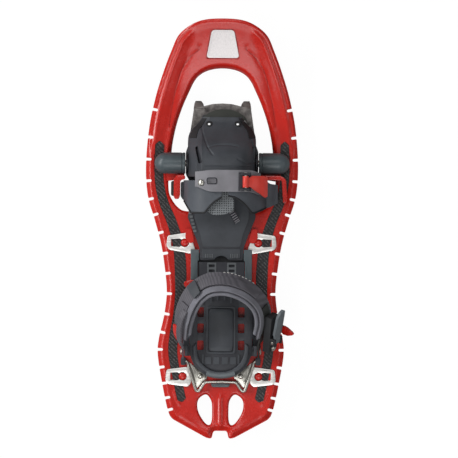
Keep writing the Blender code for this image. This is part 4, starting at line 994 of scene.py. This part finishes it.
def build_toe_strap():
    def front_edge(turn):
        return 82.5 - 2.5 * smooth(turn, 1.7, 0.5) - 4 * smooth(turn, 1.1, -0.4)

    def rear_edge(turn):
        return 52 + 7 * smooth(turn, 1.75, 0.45) - 4 * smooth(turn, 1.1, -0.4)

    grid = arch_sheet(span(2.2, 0.72, 70), front_edge, rear_edge, STRAP_LIFT, 25)
    sheet = without(slab(grid, -3), [block(box(-19, -9, 69.5, 64.5), 1.6, 70, 110)])
    piece("toe_strap_sheet", sheet, STRAP, "binding", ["toe_strap"], bevel=0.5, segments=3)
    path = []
    for x, y in rounded(box(-20.5, -7.5, 71, 63), 2.4, 6):
        path.append(Vector((x, y, boot_arch(arch_turn(x, STRAP_LIFT), STRAP_LIFT)[1] + 0.1)))
    piece("strap_slot_rim", tube(path, 0.9, 10, True), DARK, "binding", angle=60)
    level = min(point.z for point in path) - 1.9
    floor = block(box(-19.5, -8.5, 70, 64), 1.6, level - 1, level)
    piece("strap_slot_floor", floor, STRAP, "binding", bevel=0.2)
    refined(STEEL, 0.3, "strap_rivet")
    refined(DARK, 0.5, "toe_buckle")
    refined(STEEL, 0.3, "toe_buckle_pin")
    refined(BUCKLE_RED, 0.8, "toe_lever")


# The heel carriage and the ankle harness


def build_heel():
    refined(DARK, 0.8, "heel_plate")
    refined(SLATE, 1.4, "heel_cup")
    refined(SLATE, 0.6, "heel_pad")
    refined(STEEL, 0.2, "ankle_rivet_left", "ankle_rivet_right")
    refined(RED, 0.8, "length_lock_lever")
    body, top = NODES["heel_plate"]["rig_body"], HEEL_HIGH
    opening = rounded(box(-18, 18, -111, -173), 4)
    border = plate(rounded(box(-20.5, 20.5, -108.5, -175.5), 5), top - 0.3, top + 1.6, [opening])
    piece("heel_pad_border", border, SLATE, body, bevel=0.6)
    ribs = []
    for x, front, rear in ((-26, -92, -106), (-14, -90, -104), (-5, -90, -100), (5, -90, -100),
                           (14, -90, -104), (26, -92, -106), (-25, -176, -190), (25, -176, -190)):
        ribs.append(block(box(x - 1.1, x + 1.1, front, rear), 0.9, top - 0.3, top + 1.8))
    for x in (-17.5, -6, 6, 17.5):
        ribs.append(block(box(x - 4.2, x + 4.2, -180, -190), 1, top - 0.3, top + 1.2))
    piece("heel_ribs", merged(ribs), SLATE, body, bevel=0.5)
    bar = [(20, -202.5), (10, -205), (0, -205.8), (-10, -205), (-20, -202.5)]
    path = spline([(x, y, top + 2.6) for x, y in bar], 1.5)
    piece("heel_cup_bar", tube(path, 4.2, 20), PALE, body, angle=60)
    for side, word in SIDES:
        sill = block(flipped([(44.5, -98), (55, -104), (56, -168), (44.5, -172)], side), 3, 24, 25.6)
        piece(f"heel_sill_{word}", sill, DARK, body, bevel=0.4)


def ring_frames(step):
    """Stations round the ankle: a point, the way ahead, outward, and across the band."""
    line = spline([station[:3] for station in RING], step)
    frames = []
    for point, ahead in zip(line, headings(line)):
        inward = Vector((RING_MIDDLE.x - point.x, RING_MIDDLE.y - point.y, 0))
        inward = (inward - ahead * inward.dot(ahead)).normalized()
        gaps = sorted(((Vector(station[:3]) - point).length, station[3]) for station in RING)
        (first, near), (second, far) = gaps[:2]
        lean = math.radians(near + (far - near) * first / (first + second))
        wide = Vector((0, 0, math.cos(lean))) + inward * math.sin(lean)
        wide = (wide - ahead * wide.dot(ahead)).normalized()
        out = ahead.cross(wide)
        frames.append((point, ahead, -out if out.dot(inward) > 0 else out, wide))
    return frames


def ring_grid(frames, row):
    """A grid along the ring; row gives pairs of (lift, place across) at each share of its length."""
    shares = span(0, 1, len(frames))
    return [[point + out * lift + wide * across for lift, across in row(share)]
            for share, (point, _, out, wide) in zip(shares, frames)]


def ring_sheet(frames, lift, half, columns):
    """A grid along the ring, a lift outside it; half gives half its width at each share of its length."""
    return ring_grid(frames, lambda share: [(lift, x) for x in span(-half(share), half(share), columns)])


def build_ankle():
    frames = ring_frames(2.5)

    def stretch(start, end):
        """The frames between two shares of the ring's length."""
        return frames[round(len(frames) * start):round(len(frames) * end)]

    def harness(name, bm, look, nodes=(), **finish):
        return piece(name, bm, look, "ankle_harness", nodes, **finish)

    widest, end_share = 17, 0.62

    def band_half(share):
        swell = math.sin(math.pi * min(max(share, 0), 1)) ** 0.5
        return widest * (end_share + (1 - end_share) * swell)

    def crown(i, j):
        return 3 + 5.5 * (1 - (2 * j - 1) ** 10) * float(smooth(0.25 + min(i, 1 - i) * 8))

    band = stretch(0.09, 0.92)
    sheet = slab(ring_sheet(band, 0, band_half, 13), 2.5)
    harness("ankle_band_sheet", sheet, BAND, ["ankle_band"], bevel=0.7, segments=3)
    pad = ring_sheet(band[2:-2], -3, lambda share: band_half(share) + 1.5, 25)
    made = harness("ankle_pad_cushion", slab(pad, crown), FOAM, ["ankle_pad"], angle=60)
    edge = ring_grid(band[2:-2], lambda share: [(-5.4, band_half(share) + 1.2)])[1:-1]
    harness("ankle_lining_edge", tube([row[0] for row in edge], 2.6, 14), LINING, angle=60)

    def collar_row(share):
        high = band_half(share) + 1.2
        return [(1.9, across) for across in span(high - 9, high, 9)]

    collar = slab(ring_grid(band, collar_row)[1:-1], 1.7)
    harness("ankle_collar", collar, LINING, bevel=0.7, segments=3)
    for number, (point, ahead, out, wide) in enumerate(stretch(0.36, 0.52)):
        if number % 2 == 0:
            middle = point + out * 0.9 - wide * 15.4
            stitch = tube([middle - ahead * 1.3, middle, middle + ahead * 1.3], 0.5, 8)
            harness(f"band_stitch_{number}", stitch, THREAD, angle=60)
    reach = round(len(frames) * 0.27)
    below = Vector((0, -6.5, -4))
    right, left = frames[:reach], frames[len(frames) - reach:]
    right = [(right[0][0] + below, *right[0][1:]), *right]
    left = [*left, (left[-1][0] + below, *left[-1][1:])]
    for word, part, look in (("right", right, WEBBING), ("left", left, BAND)):
        strap = slab(ring_sheet(part, 3, lambda share: 7.5, 7), 2.4)
        harness(f"anchor_strap_band_{word}", strap, look, [f"anchor_strap_{word}"], bevel=0.5)
    ladder = slab(ring_sheet(stretch(0.32, 0.66), 3.2, lambda share: 7, 9), 2.4)
    harness("ladder_strap_band", ladder, BAND, ["ladder_strap"], bevel=0.6, segments=3)
    refined(SLATE, 0.8, "strap_keeper")
    refined(RED, 0.8, "strap_slider")
    refined(RUBBER, 0.6, "ratchet_base")
    refined(STEEL, 0.2, "ratchet_pin", "release_pin")
    refined(PALE, 0.8, "ratchet_lever")
    refined(RED, 0.8, "ratchet_release")
    shape = [vert.co / MM for vert in NODES["ratchet_screw"].data.vertices]
    middle = sum(shape, Vector()) / len(shape)
    place = Vector(RING[RATCHET_STATION][:3])
    outward = min(frames, key=lambda station: (station[0] - place).length)[2]
    screw = dome(middle - outward * 0.8, outward, 4.4, 3.2)
    harness("ratchet_screw_head", screw, STEEL, ["ratchet_screw"], angle=50)

    def webbing_row(share):
        lift = 4.3 + 4.4 * float(smooth(min(share, 1 - share) * 5))
        fold = [(0, 0.8), (0, 3), (0, 5.4), (0, 7.6), (0.4, 9.2), (1.6, 10), (3.4, 10.2)]
        return [(lift - drop, across) for drop, across in fold]

    strip = slab(ring_grid(stretch(0.76, 0.96), webbing_row), 1.0)
    harness("slider_webbing", strip, BAND, bevel=0.3)


# Floor, light and camera, in metres

FLOOR_REACH, FLOOR_Z, FLOOR_GREY, FLOOR_GLOW, GLOW_SHARE = 4, -0.0005, 0.35, 1.12, 0.86
WORLD_LIGHT = 0.16
LENS, SENSOR = 600, 36
VIEW_WIDTH, VIEW_LEVEL = 0.6435, 0.03
VIEW_X, VIEW_ROLL = 0.0104, 0.42

# Each lamp's name, place, size and power in watts
LAMPS = (("key", (-1.9, 0.5, 1.25), (2.4, 0.5), 45),
         ("top", (0.1, 0.1, 2.4), (2.0, 2.0), 2),
         ("over_front", (-0.1, 0.85, 2.3), (1.2, 0.5), 5.5),
         ("over_rear", (-0.1, -0.85, 2.3), (1.2, 0.5), 5.5),
         ("rear", (-0.1, -1.3, 2.1), (1.8, 0.7), 13),
         ("front", (0.3, 1.3, 2.2), (1.2, 0.5), 3),
         ("fill", (1.7, -0.4, 1.3), (1.6, 0.5), 5))


def build_floor():
    """A plain floor that the camera sees almost white."""
    mesh = bpy.data.meshes.new("floor")
    corners = box(-FLOOR_REACH, FLOOR_REACH, -FLOOR_REACH, FLOOR_REACH)
    mesh.from_pydata([(x, y, FLOOR_Z) for x, y in corners], [], [(0, 1, 2, 3)])
    floor = placed("floor", mesh)
    made = bpy.data.materials.new("floor_white")
    made.use_nodes = True
    nodes = made.node_tree.nodes
    shader, glow = nodes["Principled BSDF"], nodes.new("ShaderNodeEmission")
    fill(shader, {"Base Color": (FLOOR_GREY, FLOOR_GREY, FLOOR_GREY, 1), "Roughness": 0.9})
    fill(glow, {"Strength": FLOOR_GLOW})
    weight = nodes.new("ShaderNodeMath")
    weight.operation = "MULTIPLY"
    fill(weight, {0: nodes.new("ShaderNodeLightPath").outputs["Is Camera Ray"], 1: GLOW_SHARE})
    mixed = nodes.new("ShaderNodeMixShader")
    fill(mixed, {"Fac": weight.outputs[0], 1: shader.outputs[0], 2: glow.outputs[0]})
    fill(nodes["Material Output"], {"Surface": mixed.outputs[0]})
    mesh.materials.append(made)


def build_light():
    world = bpy.data.worlds.new("studio")
    bpy.context.scene.world = world
    world.use_nodes = True
    nodes = world.node_tree.nodes
    level = nodes.new("ShaderNodeMapRange")
    sight = nodes.new("ShaderNodeLightPath").outputs["Is Camera Ray"]
    fill(level, {"To Min": WORLD_LIGHT, "Value": sight})
    fill(nodes["Background"], {"Color": (1, 1, 1, 1), "Strength": level.outputs["Result"]})
    for name, place, size, power in LAMPS:
        light = bpy.data.lights.new(name, "AREA")
        light.shape = "RECTANGLE"
        light.size, light.size_y = size
        light.energy = power
        lamp = placed(name, light)
        lamp.location = place
        lamp.visible_camera = False
        lamp.rotation_euler = (-Vector(place)).to_track_quat("-Z", "Y").to_euler()


def build_camera():
    camera = bpy.data.cameras.new("camera")
    camera.lens = LENS
    camera.sensor_width = SENSOR
    camera.clip_end = 50
    eye = placed("camera", camera)
    eye.location = (VIEW_X, 0, VIEW_WIDTH * LENS / SENSOR + VIEW_LEVEL)
    eye.rotation_euler = (0, 0, math.radians(VIEW_ROLL))
    bpy.context.scene.camera = eye
    bpy.context.scene.view_settings.view_transform = "Standard"


build_deck()
build_deck_fittings()
build_lifter()
build_base()
build_toe_cap()
build_wings()
build_toe_strap()
build_heel()
build_ankle()
build_floor()
build_light()
build_camera()
